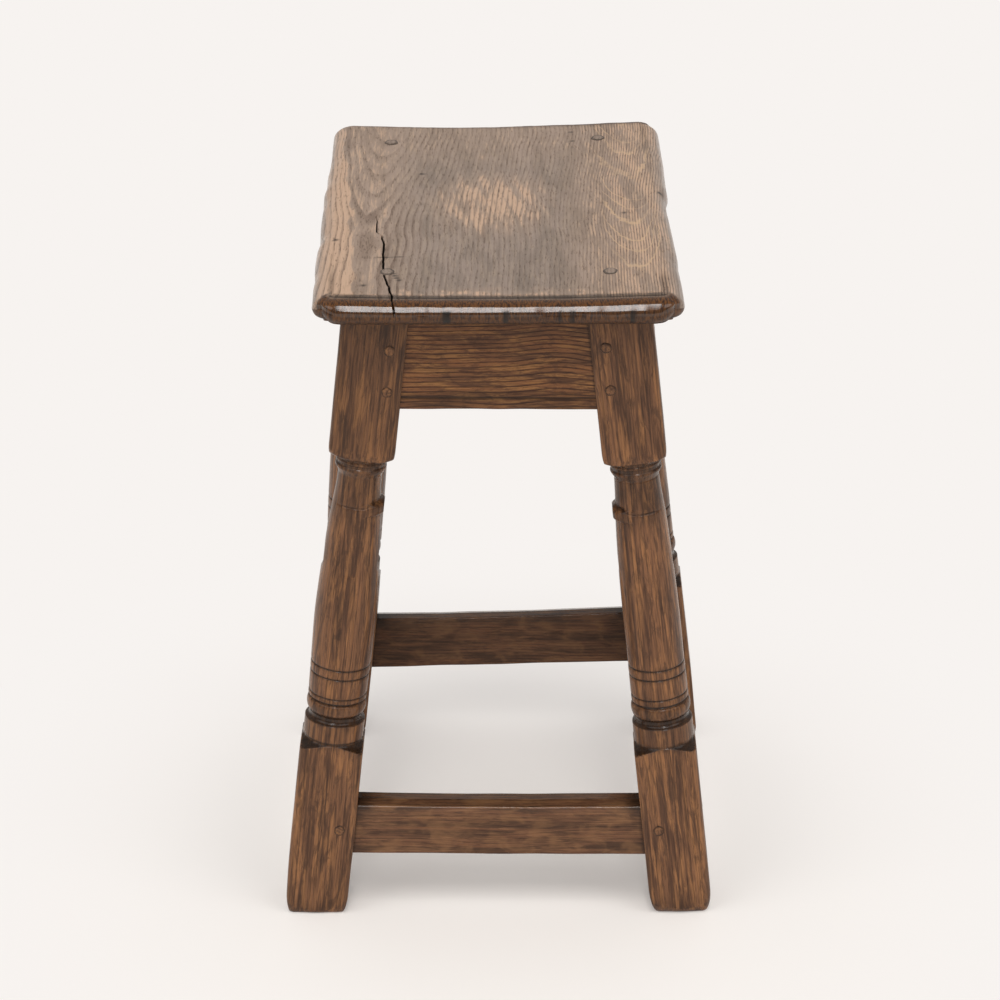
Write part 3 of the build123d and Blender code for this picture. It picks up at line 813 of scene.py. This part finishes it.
plainLeg = dict(
    scribes=(193.2, 211.0, 219.2),
    lowShift=1.0,
    highShift=1.0,
    blockGrow=0.0,
    footGrow=0.0,
    footForward=0.0,
    footTwist=0.0,
    footRounds=((12, 8.0), (10, 9.0), (10, 9.0), (10, 9.0)),  # height and depth: outer, front, inner, back
    tone=(0.05, 0.05),  # darkening of the column and foot, and of the block above
)
legLooks = dict(
    front_left_leg=dict(
        plainLeg,
        sideX=-1,
        sideY=-1,
        column=(23.6, 24.4, 24.9, 24.3, 23.5, 22.4, 21.1, 20.1, 19.1, 18.2, 17.4, 17.4),
        ring=359.2,
        lowShift=1.5,
        highShift=2.6,
        bow=((0, 40, 144, 330, 400, 527), (0, 0.55, 0.7, 0.3, 0, 0)),
        blockGrow=0.85,
        footGrow=0.5,
        footForward=3.5,
        footRounds=((34, 9.0), (5, 4.5), (24, 9.0), (10, 9.0)),
        tone=(0.06, 0.27),
        seed=101,
    ),
    front_right_leg=dict(
        plainLeg,
        sideX=1,
        sideY=-1,
        column=(23.2, 22.8, 22.8, 22.7, 22.5, 21.8, 20.9, 20.1, 19.2, 18.5, 17.8, 17.6),
        ring=354.6,
        lowShift=0.0,
        highShift=0.0,
        bow=((0, 240, 320, 385, 400, 527), (0, 0, -0.4, -0.4, 0, 0)),
        footForward=1.0,
        footTwist=-1.6,
        footRounds=((34, 10.5), (8, 6.5), (26, 11.0), (10, 9.0)),
        tone=(0.0, 0.08),
        seed=202,
    ),
    rear_left_leg=dict(
        plainLeg,
        sideX=-1,
        sideY=1,
        column=(24.4, 25.1, 25.2, 25.0, 24.0, 22.6, 21.2, 20.2, 19.2, 18.3, 17.4, 17.4),
        ring=356.0,
        scribes=(200.0, 217.5, 226.7),
        bow=((0, 117, 268, 330, 527), (0, 0, 5.4, 6.5, 6.5)),
        seed=303,
    ),
    rear_right_leg=dict(
        plainLeg,
        sideX=1,
        sideY=1,
        column=(23.2, 23.1, 23.0, 22.7, 22.2, 21.4, 20.5, 19.7, 18.8, 18.0, 17.4, 17.4),
        ring=356.5,
        bow=((0, 60, 260, 300, 527), (0, 0.6, -1.5, -2.0, -4.0)),
        seed=404,
    ),
)


def legBow(sideX, sideY, height):
    # how far a warped leg stands outwards of its straight line
    for look in legLooks.values():
        if (look["sideX"], look["sideY"]) == (sideX, sideY):
            return np.interp(height, *look["bow"])


def legLevels(look):
    # places along the leg, close together over the mouldings
    top = stool["frameTop"] / leanCos
    levels = np.concatenate(
        [
            11 * (1 - np.cos(np.linspace(0, np.pi / 2, 11))),
            np.arange(15, 141, 5.0),
            np.arange(141, 192, 0.45),
            np.arange(192, 345, 3.0),
            *[np.linspace(s - 1.4, s + 1.4, 9) for s in look["scribes"]],
            np.arange(345, 426, 0.6),
            np.arange(428, top - 2, 5.0),
            [top],
        ]
    )
    return np.unique(np.round(levels, 3))


def runningMean(values):
    # each value becomes the mean of the 17 around it
    return np.convolve(np.pad(values, 8, mode="edge"), np.ones(17) / 17, mode="valid")


def archOver(level, low, high):
    # height on a half circle, from 0 at both ends to 1 midway
    middle, half = (low + high) / 2, (high - low) / 2
    return np.sqrt(np.clip(1 - ((level - middle) / half) ** 2, 0, 1))


def turnedRadius(level, look):
    # the lathe's outline, from the foot up: shoulder, collar, cove, torus and groove, the swelling column,
    # the neck, a cone with a band, a groove, a ridge, and the shoulder that runs out into the block.
    # Each later line takes over below or above its limit
    t = turning
    fine = np.arange(180, 392, 1.0)
    smooth = runningMean(np.interp(fine, t["columnHeights"], look["column"]))
    radius = np.interp(level, fine, smooth)

    low = level - look["lowShift"]
    foot = share(low, t["footTop"], t["footEnd"])
    collar = t["collarRadius"] + (t["corner"] + 2 - t["collarRadius"]) * (1 - foot) ** 2
    cove = t["collarRadius"] - 0.4 - t["coveDepth"] * archOver(low, t["coveLow"], t["coveHigh"])
    torus = t["torusFoot"] + t["torusRise"] * archOver(low, t["coveHigh"], t["torusHigh"])
    for limit, outline in (
        ("grooveHigh", t["grooveRadius"]),
        ("torusHigh", torus),
        ("coveHigh", cove),
        ("coveLow", collar),
    ):
        radius = np.where(low < t[limit], outline, radius)
    for scribe in look["scribes"]:
        radius = radius - t["scribeDepth"] * hill(level, scribe, t["scribeWidth"])

    high = level - look["highShift"]
    cone = share(high, t["neckEnd"], t["coneEnd"]) ** 1.3
    cone = t["neckRadius"] + (t["coneRadius"] - t["neckRadius"]) * cone
    ridge = t["ridgeRadius"] - 0.7 + 0.7 * archOver(high, t["upperGrooveEnd"], t["ridgeEnd"])
    part = share(high, t["shoulderLow"], t["blockLow"])
    shoulder = part + 0.5 * part * (1 - part)
    shoulder = t["shoulderRadius"] + (t["shoulderTop"] - t["shoulderRadius"]) * shoulder
    block = roundEdge(share(high, t["blockLow"], t["blockFull"]))
    block = t["blockFoot"] + (t["corner"] + 0.3 - t["blockFoot"]) * block
    for limit, outline in (
        ("neckEnd", cone),
        ("bandEnd", t["upperGrooveRadius"]),
        ("upperGrooveEnd", ridge),
        ("shoulderLow", shoulder),
        ("blockLow", block),
    ):
        radius = np.where(high >= t[limit], outline, radius)
    return radius


def makeLeg(name, look):
    # a square post, cut down wherever the lathe's outline lies inside it, then bent, dented and placed
    seed, sideX, sideY = look["seed"], look["sideX"], look["sideY"]
    levels = legLevels(look)
    quarter = np.linspace(0, 1, 33)[:-1]
    quarter = quarter + 0.9 * np.sin(4 * np.pi * quarter) / (4 * np.pi)  # closer at the corners
    quarter = quarter * np.pi / 2
    angles = np.concatenate([quarter + k * np.pi / 2 for k in range(4)])
    level, angle = np.meshgrid(levels, angles, indexing="ij")
    cosA, sinA = np.cos(angle), np.sin(angle)
    unit = np.stack([cosA, sinA, np.zeros_like(cosA)], axis=-1)
    around = np.stack([cosA * 22, sinA * 22, level], axis=-1)

    sharp = 30 + 8 * latticeNoise(around, 25, seed + 1)
    sharp = sharp - 17 * smoothStep(cosA, 0.5, 0.7) * smoothStep(sinA, 0.5, 0.7)  # a rubbed outer arris
    # the block's lower edges are rounded over
    inner = smoothStep(-cosA, -0.4, 0.8)
    lowered = level + turning["innerLower"] * inner * smoothStep(level, 390, 402)
    over = turning["roundHigh"] - lowered + look["highShift"]
    over = share(over, 0, turning["roundHeight"]) * (level > 300)
    side = halfLeg + look["blockGrow"] * smoothStep(level, 394, 400)
    side = side + look["footGrow"] * between(level, 10, 60, 140, 170)
    side = side - turning["roundDepth"] * (1 - np.sqrt(1 - over**2))
    square = side * (np.abs(cosA) ** sharp + np.abs(sinA) ** sharp) ** (-1 / sharp)
    turned = turnedRadius(lowered, look)
    # the ring at the neck is left standing only on the inner side; round the front runs its upper groove
    fromRing = level - look["ring"]
    ringPart = np.where(fromRing < 0, fromRing / turning["ringBelow"], fromRing / turning["ringAbove"])
    ringPart = np.sqrt(np.clip(1 - ringPart**2, 0, 1)) * smoothStep(-cosA, 0.1, 0.95)
    chips = latticeNoise(around, (7, 7, 10), seed + 2)
    broken = smoothStep(latticeNoise(around, (9, 9, 40), seed + 9), -0.35, 0.15)
    grooveHeight = -0.3 + 4.6 * smoothStep(-cosA, 0.2, 0.9)
    groove = hill(fromRing, grooveHeight, turning["grooveWidth"]) * smoothStep(-cosA, -0.95, -0.5)
    groove = groove * (0.55 + 0.45 * broken)
    turned = turned + turning["ringRise"] * ringPart * (1 + 0.15 * chips) - turning["grooveDepth"] * groove
    radius = np.minimum(square, turned)

    # the foot: its lower edges are rounded by wear, more at some corners than at others
    outer, front, innerSide, rear = (np.array(pair, float) for pair in look["footRounds"])
    acrossShare, throughShare = (cosA**2)[..., None], (sinA**2)[..., None]
    footRound = acrossShare * np.where((cosA > 0)[..., None], outer, innerSide)
    footRound = footRound + throughShare * np.where((sinA > 0)[..., None], front, rear)
    footRound = footRound * (1 + 0.2 * latticeNoise(around * (1, 1, 0), 17, seed + 10))[..., None]
    radius = radius - footRound[..., 1] * (1 - roundEdge(share(level, 0, footRound[..., 0])))
    across, through = radius * cosA, radius * sinA
    across = across + legBow(sideX, sideY, level)
    forward = look["footForward"] + look["footTwist"] * across / halfLeg
    through = through + forward * smoothStep(level, 150, 0)

    # both ends are cut level although the leg leans
    levelShift = -across * np.tan(stool["splay"])
    bottomShare = smoothStep(level, 120, 20)
    topShare = smoothStep(level, 430, 520)
    along = level + levelShift * (bottomShare + topShare)

    local = np.stack([across, through, along], axis=-1)
    dent = 0.22 * layeredNoise(local + 400 * sideX, (34, 34, 60), seed + 3)
    dent = dent + 0.06 * latticeNoise(local, (4, 4, 45), seed + 4)
    edge = smoothStep(np.minimum(level, 530 - level), 0, 6)
    low = level - look["lowShift"]
    cut = smoothStep(square - turned, -0.2, 1.5) * between(low, 143, 146, 151, 156)
    dent = dent + 0.5 * cut * layeredNoise(local, (4, 4, 3), seed + 11, 2)  # rough saw cuts
    local = local + unit * ((dent - 0.2) * edge)[..., None]

    axis = np.array([-sideX * leanSin, 0, leanCos])
    outX = np.array([sideX * leanCos, 0, leanSin])
    outY = np.array([0, sideY, 0])
    base = np.array([sideX * footCentreX, sideY * legCentreY, 0])
    grid = base + local[..., :1] * outX + local[..., 1:2] * outY + local[..., 2:] * axis
    grid[..., 2] = np.clip(grid[..., 2], 0.0, stool["frameTop"])

    # grain runs along the leg; the pith lies outside it
    pith = np.random.default_rng(seed).uniform((45, 20), (75, 60)) * (1, -1)
    wander = 5 * latticeNoise(local, (50, 50, 150), seed + 5)
    fromPith = local[..., 0] + pith[0] + wander, local[..., 1] + pith[1] + 0.06 * local[..., 2]
    rings = np.hypot(*fromPith) / 4.0
    spacing = np.arange(130, 430, 0.5)
    outline = turnedRadius(spacing, look)
    # darker in the lathe's recesses, scribes, cove and groove and in the foot's corner pockets: wax and
    # dirt, and painted shade
    recess = np.interp(levels, spacing, np.clip(runningMean(outline) - outline - 0.15, 0, 1.0))
    recess = np.where((levels > 154) & (levels < 396), recess, 0)[:, None] + 0 * angle
    scribed = sum(hill(level, scribe, 1.25) for scribe in look["scribes"])
    high = level - look["highShift"]
    coveLow, coveHigh = turning["coveLow"], turning["coveHigh"]
    hollows = between(low, coveLow - 1.4, coveLow + 0.2, coveHigh - 0.4, coveHigh + 1)
    hollows = hollows + hill(low, (turning["torusHigh"] + turning["grooveHigh"]) / 2, 1.4)
    pocket = smoothStep(square - turned, -0.4, 1.2) * between(low, 142, 145.5, 150.5, 155.5)
    # painted shade under the block's shoulder
    shadeUnderBlock = 0.65 * between(high, 394.2, 395.6, 397.4, 400)
    grime = np.maximum(0.8 * recess + 0.9 * pocket + 0.6 * scribed + 0.9 * groove, shadeUnderBlock)
    # darker over the collar, at the foot's bottom and over the neck below the block
    collar = 0.32 * between(level, 146, 152, 186, 204) * (0.8 + 0.6 * chips)
    bottom = 0.35 * smoothStep(level, 24, 3) * (0.7 + 0.8 * chips)
    neck = 0.5 * smoothStep(level, 335, 364) * smoothStep(high, 399, 394) * (0.85 + 0.5 * chips)
    grime = np.maximum(grime, np.maximum(np.maximum(collar, bottom), neck))
    grime = np.maximum(grime, np.interp(level, (396, 412), look["tone"]))
    grime = np.clip(np.maximum(grime, 0.82 * hollows), 0, 0.95)
    arris = smoothStep(np.abs(np.abs(cosA) - np.abs(sinA)), 0.16, 0.02) * (radius > halfLeg)
    wear = np.clip(0.5 * arris * (0.6 + 0.6 * chips), 0, 1)
    polish = np.clip(0.35 + 0.2 * pocket + 0.5 * recess, 0, 1)
    grain = local + np.array([137.0, 61.0, 900.0]) * (seed % 7 + 1)
    marks = dict(grain=[grain], ring=[rings], wear=[wear], grime=[grime], polish=[polish])
    makeOakPiece(name, [grid], marks, legOak)


for legName, legLook in legLooks.items():
    makeLeg(legName, legLook)
print("legs made")


# rails and stretchers
memberSizes = dict(
    rail=dict(thickness=22.0, inset=2.0, arris=0.9, hollow=0.0, wearWidth=0, wearDrop=0),
    stretcher=dict(thickness=20.0, inset=5.0, arris=1.0, hollow=1.2, wearWidth=9.0, wearDrop=2.6),
    railBottom=442.2,
    scribeHeight=451.7,
    stretchers=dict(  # lower edge, height, seed, and what sets one apart
        front=(52.2, 46.7, 611, {}),
        # the rear stretcher is tilted, hollowed and darkened all over as painted shade
        rear=(61.5, 48.5, 622, dict(tilt=3.6, hollow=1.5, paintedShade=0.22)),
        left=(57.0, 45.0, 633, {}),
        right=(57.0, 45.0, 644, {}),
    ),
    ringWidth=dict(rail=3.3, stretcher=2.4),
    overlap=0.8,  # how far a member's drawn end runs into the leg
    halfSpan=140,  # rough half length, for its grain
    sideSpan=1.3,  # the side members are longer by this
)


def sectionOutline(low, high, thickness, arris, wearWidth, wearDrop, count=208):
    # closed outline of a member: a rectangle with rounded arrises, whose outer top edge is worn to a slope.
    # returns distance in from the outer face (negative inwards) and height, evenly spaced round it
    quarter = np.linspace(0, np.pi / 2, 5)
    corners = []
    for cx, cz, start in (
        (-arris, high - arris - wearDrop, 0),
        (-thickness + arris, high - arris, 1),
        (-thickness + arris, low + arris, 2),
        (-arris, low + arris, 3),
    ):
        a = quarter + start * np.pi / 2
        corners.append(np.stack([cx + arris * np.cos(a), cz + arris * np.sin(a)], axis=-1))
    if wearDrop:
        slope = np.array([[-wearWidth, high]])
        corners.insert(1, slope)
    outline = np.concatenate(corners + [corners[0][:1]])
    steps = np.concatenate([[0], np.cumsum(np.linalg.norm(np.diff(outline, axis=0), axis=1))])
    places = np.linspace(0, steps[-1], count + 1)[:-1]
    return np.stack([np.interp(places, steps, outline[:, k]) for k in (0, 1)], axis=-1)


def makeMember(node, kind, low, high, seed, tilt=0.0, hollow=None, scribe=None, paintedShade=0.0):
    # its section is carried from leg to leg, with the places closer together near the ends
    size = memberSizes[kind]
    place = node.split("_")[0]
    side, alongX = dict(front=(-1, True), rear=(1, True), left=(-1, False), right=(1, False))[place]
    section = (size[key] for key in ("thickness", "arris", "wearWidth", "wearDrop"))
    outline = sectionOutline(low, high, *section)
    crowding = 0.9 * np.pi / 2
    places = np.sin(np.linspace(-1, 1, 121) * crowding) / np.sin(crowding)
    s, index = np.meshgrid(places, np.arange(len(outline)), indexing="ij")
    out, height = outline[index, 0], outline[index, 1]
    nearTop = smoothStep(height, high - 14, high - 1)
    nearBottom = smoothStep(height, low + 8, low + 1)
    halfSpan = memberSizes["halfSpan"]
    local = np.stack([out, s * halfSpan, height], axis=-1)
    hollowDepth = size["hollow"] if hollow is None else hollow
    height = height - hollowDepth * nearTop * (1 - s**2) ** 0.8
    height = height + tilt * s
    wob = layeredNoise(local + 300, (22, 60, 22), seed)
    out = out + 0.22 * wob - 0.15
    height = height + 0.35 * latticeNoise(local, (30, 34, 60), seed + 5) * (nearTop - nearBottom)
    if scribe is not None:
        faceMask = smoothStep(outline[index, 0], -2, -0.5)
        wavyScribe = scribe + 0.25 * latticeNoise(local * (0, 1, 0), 20, seed + 8)
        out = out - 0.9 * hill(height, wavyScribe, 0.75) * faceMask
    if alongX:
        reach = innerFaceX(height) + memberSizes["overlap"]
        reach = reach + np.where(s < 0, legBow(-1, side, height), legBow(1, side, height))
        y = side * (stool["frameLength"] / 2 - size["inset"] + out)
        grid = np.stack([s * reach, y, height], axis=-1)
    else:
        axis = np.array([-side * leanSin, 0, leanCos])
        outward = np.array([side * leanCos, 0, leanSin])
        base = np.array([side * footCentreX, 0, 0]) + outward * (halfLeg - size["inset"])
        grid = base + out[..., None] * outward + (height / leanCos)[..., None] * axis
        grid[..., 1] = s * (innerFaceY + memberSizes["overlap"])
        frontBow, rearBow = legBow(side, -1, height), legBow(side, 1, height)
        grid[..., 0] += side * (frontBow + (rearBow - frontBow) * (s + 1) / 2)
        grid[..., 2] = np.minimum(grid[..., 2], stool["frameTop"])
    grainAlong = s * halfSpan * (1 if alongX else memberSizes["sideSpan"])
    local = np.stack([height, out, grainAlong], axis=-1)
    pith = np.random.default_rng(seed).uniform((20, 40), (60, 90))
    wander = 4 * latticeNoise(local, (60, 60, 90), seed + 6)
    rings = np.hypot(local[..., 0] - low + pith[0] + wander, local[..., 1] + pith[1])
    ends = smoothStep(np.abs(s), 0.965, 1.0)
    grime = 0.55 * ends
    if scribe is not None:
        lowBand = 0.26 * smoothStep(height, scribe + 6.5, scribe + 5)
        grime = np.maximum(np.maximum(grime, lowBand), 0.9 * hill(height, scribe, 1.3))
    # a stretcher is drawn darker on its top, most near the legs
    if kind == "stretcher":
        topEnds = nearTop * smoothStep(np.abs(s), 0.8, 0.98)
        onTop = smoothStep(outline[index, 1], high - 12, high - 6)
        onTop = onTop * smoothStep(outline[index, 0], -0.3, -2.0)
        grime = np.maximum(np.maximum(grime, 0.8 * topEnds), 0.3 * onTop)
    # painted shade over the whole member, where it is given
    grime = np.maximum(grime, paintedShade)
    # the top front arris is painted paler: wear, and a painted highlight where the arris catches the light
    fromArris = np.abs(height - (high - size["wearDrop"]))
    arrisWearAndHighlight = smoothStep(fromArris, 2.2, 0.4) * smoothStep(out, -3, 0)
    wear = np.clip(arrisWearAndHighlight * 0.9, 0, 1) if kind == "stretcher" else 0.2 * arrisWearAndHighlight
    polish = 0.3 + 0.5 * nearTop * (kind == "stretcher")
    marks = dict(
        grain=[local + 311.0 * (seed % 5 + 1)],
        ring=[rings / memberSizes["ringWidth"][kind]],
        wear=[wear + 0 * s],
        grime=[np.clip(grime, 0, 0.95) + 0 * s],
        polish=[polish + 0 * s],
    )
    makeOakPiece(node, [grid], marks, railOak if kind == "rail" else stretcherOak)


for place, seed in (("front", 511), ("rear", 522), ("left", 533), ("right", 544)):
    low, high = memberSizes["railBottom"], stool["frameTop"]
    makeMember(f"{place}_rail", "rail", low, high, seed, scribe=memberSizes["scribeHeight"])
for place, (low, height, seed, extra) in memberSizes["stretchers"].items():
    makeMember(f"{place}_stretcher", "stretcher", low, low + height, seed, **extra)
print("rails and stretchers made")


# pegs
peg = dict(
    radius=4.0,
    depth=34.0,
    proud=0.35,
    waxReach=0.6,
    sideSink=0.45,
    seatRadius=4.75,
    seatDepth=40.0,
    seatWaxReach=1.1,
    seatStretch=1.3,  # the heads on the board are longer than wide
    seatRise=0.25,
    edgeGrimeAndShade=0.65,
    headGrime=0.08,
)


def pegGrid(centre, outward, radius, seed, depth, waxReach, stretch):
    # a riven peg: its outline is a circle with a few flats, its head a low dome, and old wax fills the edge
    centre, outward = np.array(centre, float), np.array(outward, float)
    sideways = np.cross(outward, (0, 0, 1.0)) if abs(outward[2]) < 0.9 else np.array([1.0, 0, 0])
    sideways = sideways / np.linalg.norm(sideways)
    upward = np.cross(sideways, outward)
    wax = waxReach / radius
    width = np.array([0.55, 0.9, 1.0, 1.0, 1 + wax, 1 + 0.5 * wax, 1.0, 0.93, 0.75, 0.4])
    rise = [-depth, -depth + 1, -depth + 3, -1.2, -0.5, 0.12, 0.1]
    rise = np.array(rise + [peg["proud"] * part for part in (0.8, 1.0, 1.05)])
    angles = np.linspace(0, 2 * np.pi, 41)[:-1]
    rng = np.random.default_rng(seed)
    flats = 1 + 0.035 * np.cos(5 * angles + rng.uniform(0, 6))
    flats = flats + 0.03 * np.cos(2 * angles + rng.uniform(0, 6))
    reach = radius * width[:, None] * flats
    tilt = 0.12 * np.cos(angles + rng.uniform(0, 6)) * (rise > 0.3)[:, None]
    cosA, sinA = np.cos(angles)[:, None], np.sin(angles)[:, None]
    grid = centre + reach[..., None] * (cosA * sideways + stretch * sinA * upward)
    grid = grid + (rise[:, None] + tilt)[..., None] * outward
    # the wax round the head is drawn dark: wax and dirt, and painted shade in the crease
    grime = np.where((rise > -1.0) & (rise < 0.29), peg["edgeGrimeAndShade"], peg["headGrime"])
    grime = grime[:, None] + 0 * reach
    grain = (reach * np.cos(angles), reach * np.sin(angles), rise[:, None] + 0 * reach)
    grain = np.stack(grain, axis=-1)
    return grid, grime, grain + 57.0 * (seed % 11)


def makePegs(node, places, radius, depth, finish, waxReach, stretch=1.0, gloss=0.4):
    grids, marks = [], dict(grain=[], ring=[], wear=[], grime=[], polish=[])
    for k, (centre, outward) in enumerate(places):
        seed = sum(map(ord, node)) + 7 * k
        grid, grime, grain = pegGrid(centre, outward, radius, seed, depth, waxReach, stretch)
        grids.append(grid)
        values = (grain, grain[..., 0] / 3, 0.15 + 0 * grime, grime, gloss + 0 * grime)
        for mark, value in zip(marks.values(), values):
            mark.append(value)
    makeOakPiece(node, grids, marks, finish)


pegInset = 11.5  # from the shoulder of the rail or stretcher
frontPegs = dict(  # x, z and how far the leg's worn face stands in front of its straight one
    rail=((-82.6, 490.8, 0.8), (-85.2, 457.2, 0.8), (82.7, 493.5, 0.0), (86.6, 458.8, 0.0)),
    stretcher=((-128.9, 77.0, 2.1), (129.6, 77.0, 0.8)),
)
pegHeights = dict(
    rear=dict(rail=(457.5, 491.5), stretcher=(85.0,)),
    side=dict(rail=(457.5, 491.5), stretcher=(79.5,)),
)
framePeg = (peg["radius"], peg["depth"], pegOak, peg["waxReach"])
faceY = stool["frameLength"] / 2
for kind, places in frontPegs.items():
    spots = [((x, -faceY - forward, z), (0, -1, 0)) for x, z, forward in places]
    makePegs(f"front_{kind}_pegs", spots, *framePeg)
    heights = pegHeights["rear"][kind]
    spots = [((s * (innerFaceX(z) + pegInset), faceY, z), (0, 1, 0)) for s in (-1, 1) for z in heights]
    makePegs(f"rear_{kind}_pegs", spots, *framePeg)
for side, name in ((-1, "left"), (1, "right")):
    axis = np.array([-side * leanSin, 0, leanCos])
    outward = np.array([side * leanCos, 0, leanSin])
    base = np.array([side * footCentreX, 0, 0]) + outward * (halfLeg - peg["sideSink"])
    along = np.array([0, innerFaceY + pegInset, 0])
    for kind, heights in pegHeights["side"].items():
        spots = [(base + axis * z / leanCos + s * along, outward) for s in (-1, 1) for z in heights]
        makePegs(f"{name}_{kind}_pegs", spots, *framePeg)

seatPegPlaces = ((-84.4, -164.4), (86.0, -163.5), (81.5, 181.5), (-94.5, 170.1))
placedTop = placeBoard(topGrid)


def seatHeightAt(x, y):
    nearest = np.argmin(np.hypot(placedTop[..., 0] - x, placedTop[..., 1] - y))
    return float(placedTop[..., 2].reshape(-1)[nearest])


spots = [((x, y, seatHeightAt(x, y) + peg["seatRise"]), (0, 0, 1)) for x, y in seatPegPlaces]
seatPegOak = waxedOak("rivenSeatPegOak", dict(seatLook, poreSize=(0.8, 0.8, 0.8)))
seatPeg = (peg["seatRadius"], peg["seatDepth"], seatPegOak, peg["seatWaxReach"], peg["seatStretch"])
makePegs("seat_pegs", spots, *seatPeg, gloss=0.0)
print("pegs made")


# studio: pale floor, even light
studio = dict(
    backdrop="#f7f3f0",
    floorColour="#fbf5ef",
    dome=0.52,
    strip=dict(strength=0.234, angle=10.0, elevations=(30.0, 40.0, 50.0, 60.0, 70.0)),  # a tall soft box
    sides=dict(strength=0.55, angle=40.0, elevation=42.0, azimuth=52.0),
    floorFade=(0.06, 0.55),  # metres from the front stretcher where the floor turns to plain backdrop
    fadePlace=(0, 0.1, 0),
    fadeScale=(1, 0.8, 1),
    floorLift=0.15,  # share of plain colour in the floor by the stool
    glossFront=0.22,  # how bright gloss sees the studio in front and behind
    glossBack=0.42,
    glossSpan=(-0.3, 0.5),  # where along the view it turns from the one to the other
)
floorMesh = bpy.data.meshes.new("studioFloor")
reach = 14.0
floorMesh.from_pydata(
    [(-reach, -reach, 0), (reach, -reach, 0), (reach, reach, 0), (-reach, reach, 0)], [], [(0, 1, 2, 3)]
)
floorObject = bpy.data.objects.new("studioFloor", floorMesh)
bpy.context.scene.collection.objects.link(floorObject)
floorMaterial = bpy.data.materials.new("matPaper")
floorMaterial.use_nodes = True
paper = floorMaterial.node_tree
paper.nodes.clear()
# the camera sees the paper partly in its plain colour, wholly so further off; all other rays see it lit
floorPlace = addNode(paper, "TexCoord", output="Object")
placeInputs = {"Vector": floorPlace, "Location": studio["fadePlace"], "Scale": studio["fadeScale"]}
fromStool = addNode(paper, "Mapping", placeInputs)
distance = addNode(paper, "VectorMath", {0: fromStool}, "Value", operation="LENGTH")
fadeInputs = {"Value": distance, "From Min": studio["floorFade"][0], "From Max": studio["floorFade"][1]}
fadeInputs["To Min"] = studio["floorLift"]
fade = addNode(paper, "MapRange", fadeInputs, interpolation_type="SMOOTHSTEP")
seenPaper = addNode(paper, "LightPath", output="Is Camera Ray")
plain = addNode(paper, "Math", {0: fade, 1: seenPaper}, operation="MULTIPLY")
lit = addNode(paper, "BsdfDiffuse", {"Color": linearColour(studio["floorColour"])})
plainPaper = addNode(paper, "Emission", {"Color": linearColour(studio["backdrop"]), "Strength": 1.0})
paperMix = addNode(paper, "MixShader", {0: plain, 1: lit, 2: plainPaper})
addNode(paper, "OutputMaterial", {"Surface": paperMix})
floorMesh.materials.append(floorMaterial)


def sunLamp(name, strength, angle, elevation, azimuth):
    lamp = bpy.data.lights.new(name, "SUN")
    lamp.energy = strength
    lamp.angle = np.radians(angle)
    lampObject = bpy.data.objects.new(name, lamp)
    e, a = np.radians(elevation), np.radians(azimuth)
    towards = np.array([np.sin(a) * np.cos(e), -np.cos(a) * np.cos(e), np.sin(e)])  # azimuth 0 is the front
    side = np.cross((0, 1, 0.01), towards)
    side /= np.linalg.norm(side)
    lampTurn = np.column_stack([side, np.cross(towards, side), towards])
    lampObject.matrix_world = Matrix(lampTurn.tolist()).to_4x4()
    bpy.context.scene.collection.objects.link(lampObject)


strip = studio["strip"]
for number, elevation in enumerate(strip["elevations"]):
    sunLamp(f"stripLight{number}", strip["strength"], strip["angle"], elevation, 0.0)
sides = studio["sides"]
for name, azimuth in (("leftLight", -sides["azimuth"]), ("rightLight", sides["azimuth"])):
    sunLamp(name, sides["strength"], sides["angle"], sides["elevation"], azimuth)

world = bpy.data.worlds.new("studioWorld")
bpy.context.scene.world = world
world.use_nodes = True
sky = world.node_tree
sky.nodes.clear()
dome = addNode(sky, "Background", {"Color": (1, 1, 1, 1), "Strength": studio["dome"]})
# the camera sees the plain backdrop, gloss a dimmer one, and the other rays the dome
rayKinds = ("Is Camera Ray", "Is Glossy Ray", "Is Transmission Ray")
cameraRay, glossyRay, throughRay = (addNode(sky, "LightPath", output=kind) for kind in rayKinds)
direction = addNode(sky, "TexCoord", output="Generated")
along = addNode(sky, "SeparateXYZ", {0: direction}, "Y")
dimInputs = {"Value": along, "From Min": studio["glossSpan"][0], "From Max": studio["glossSpan"][1]}
dimInputs.update({"To Min": studio["glossFront"], "To Max": studio["glossBack"]})
dim = addNode(sky, "MapRange", dimInputs, interpolation_type="SMOOTHSTEP")
dim = addNode(sky, "Math", {0: dim, 1: cameraRay}, operation="MAXIMUM")
seen = addNode(sky, "Background", {"Color": linearColour(studio["backdrop"]), "Strength": dim})
visible = addNode(sky, "Math", {0: cameraRay, 1: glossyRay}, operation="MAXIMUM")
visible = addNode(sky, "Math", {0: visible, 1: throughRay}, operation="MAXIMUM")
both = addNode(sky, "MixShader", {0: visible, 1: dome, 2: seen})
addNode(sky, "OutputWorld", {"Surface": both})
bpy.context.scene.view_settings.view_transform = "Standard"
print("studio made")
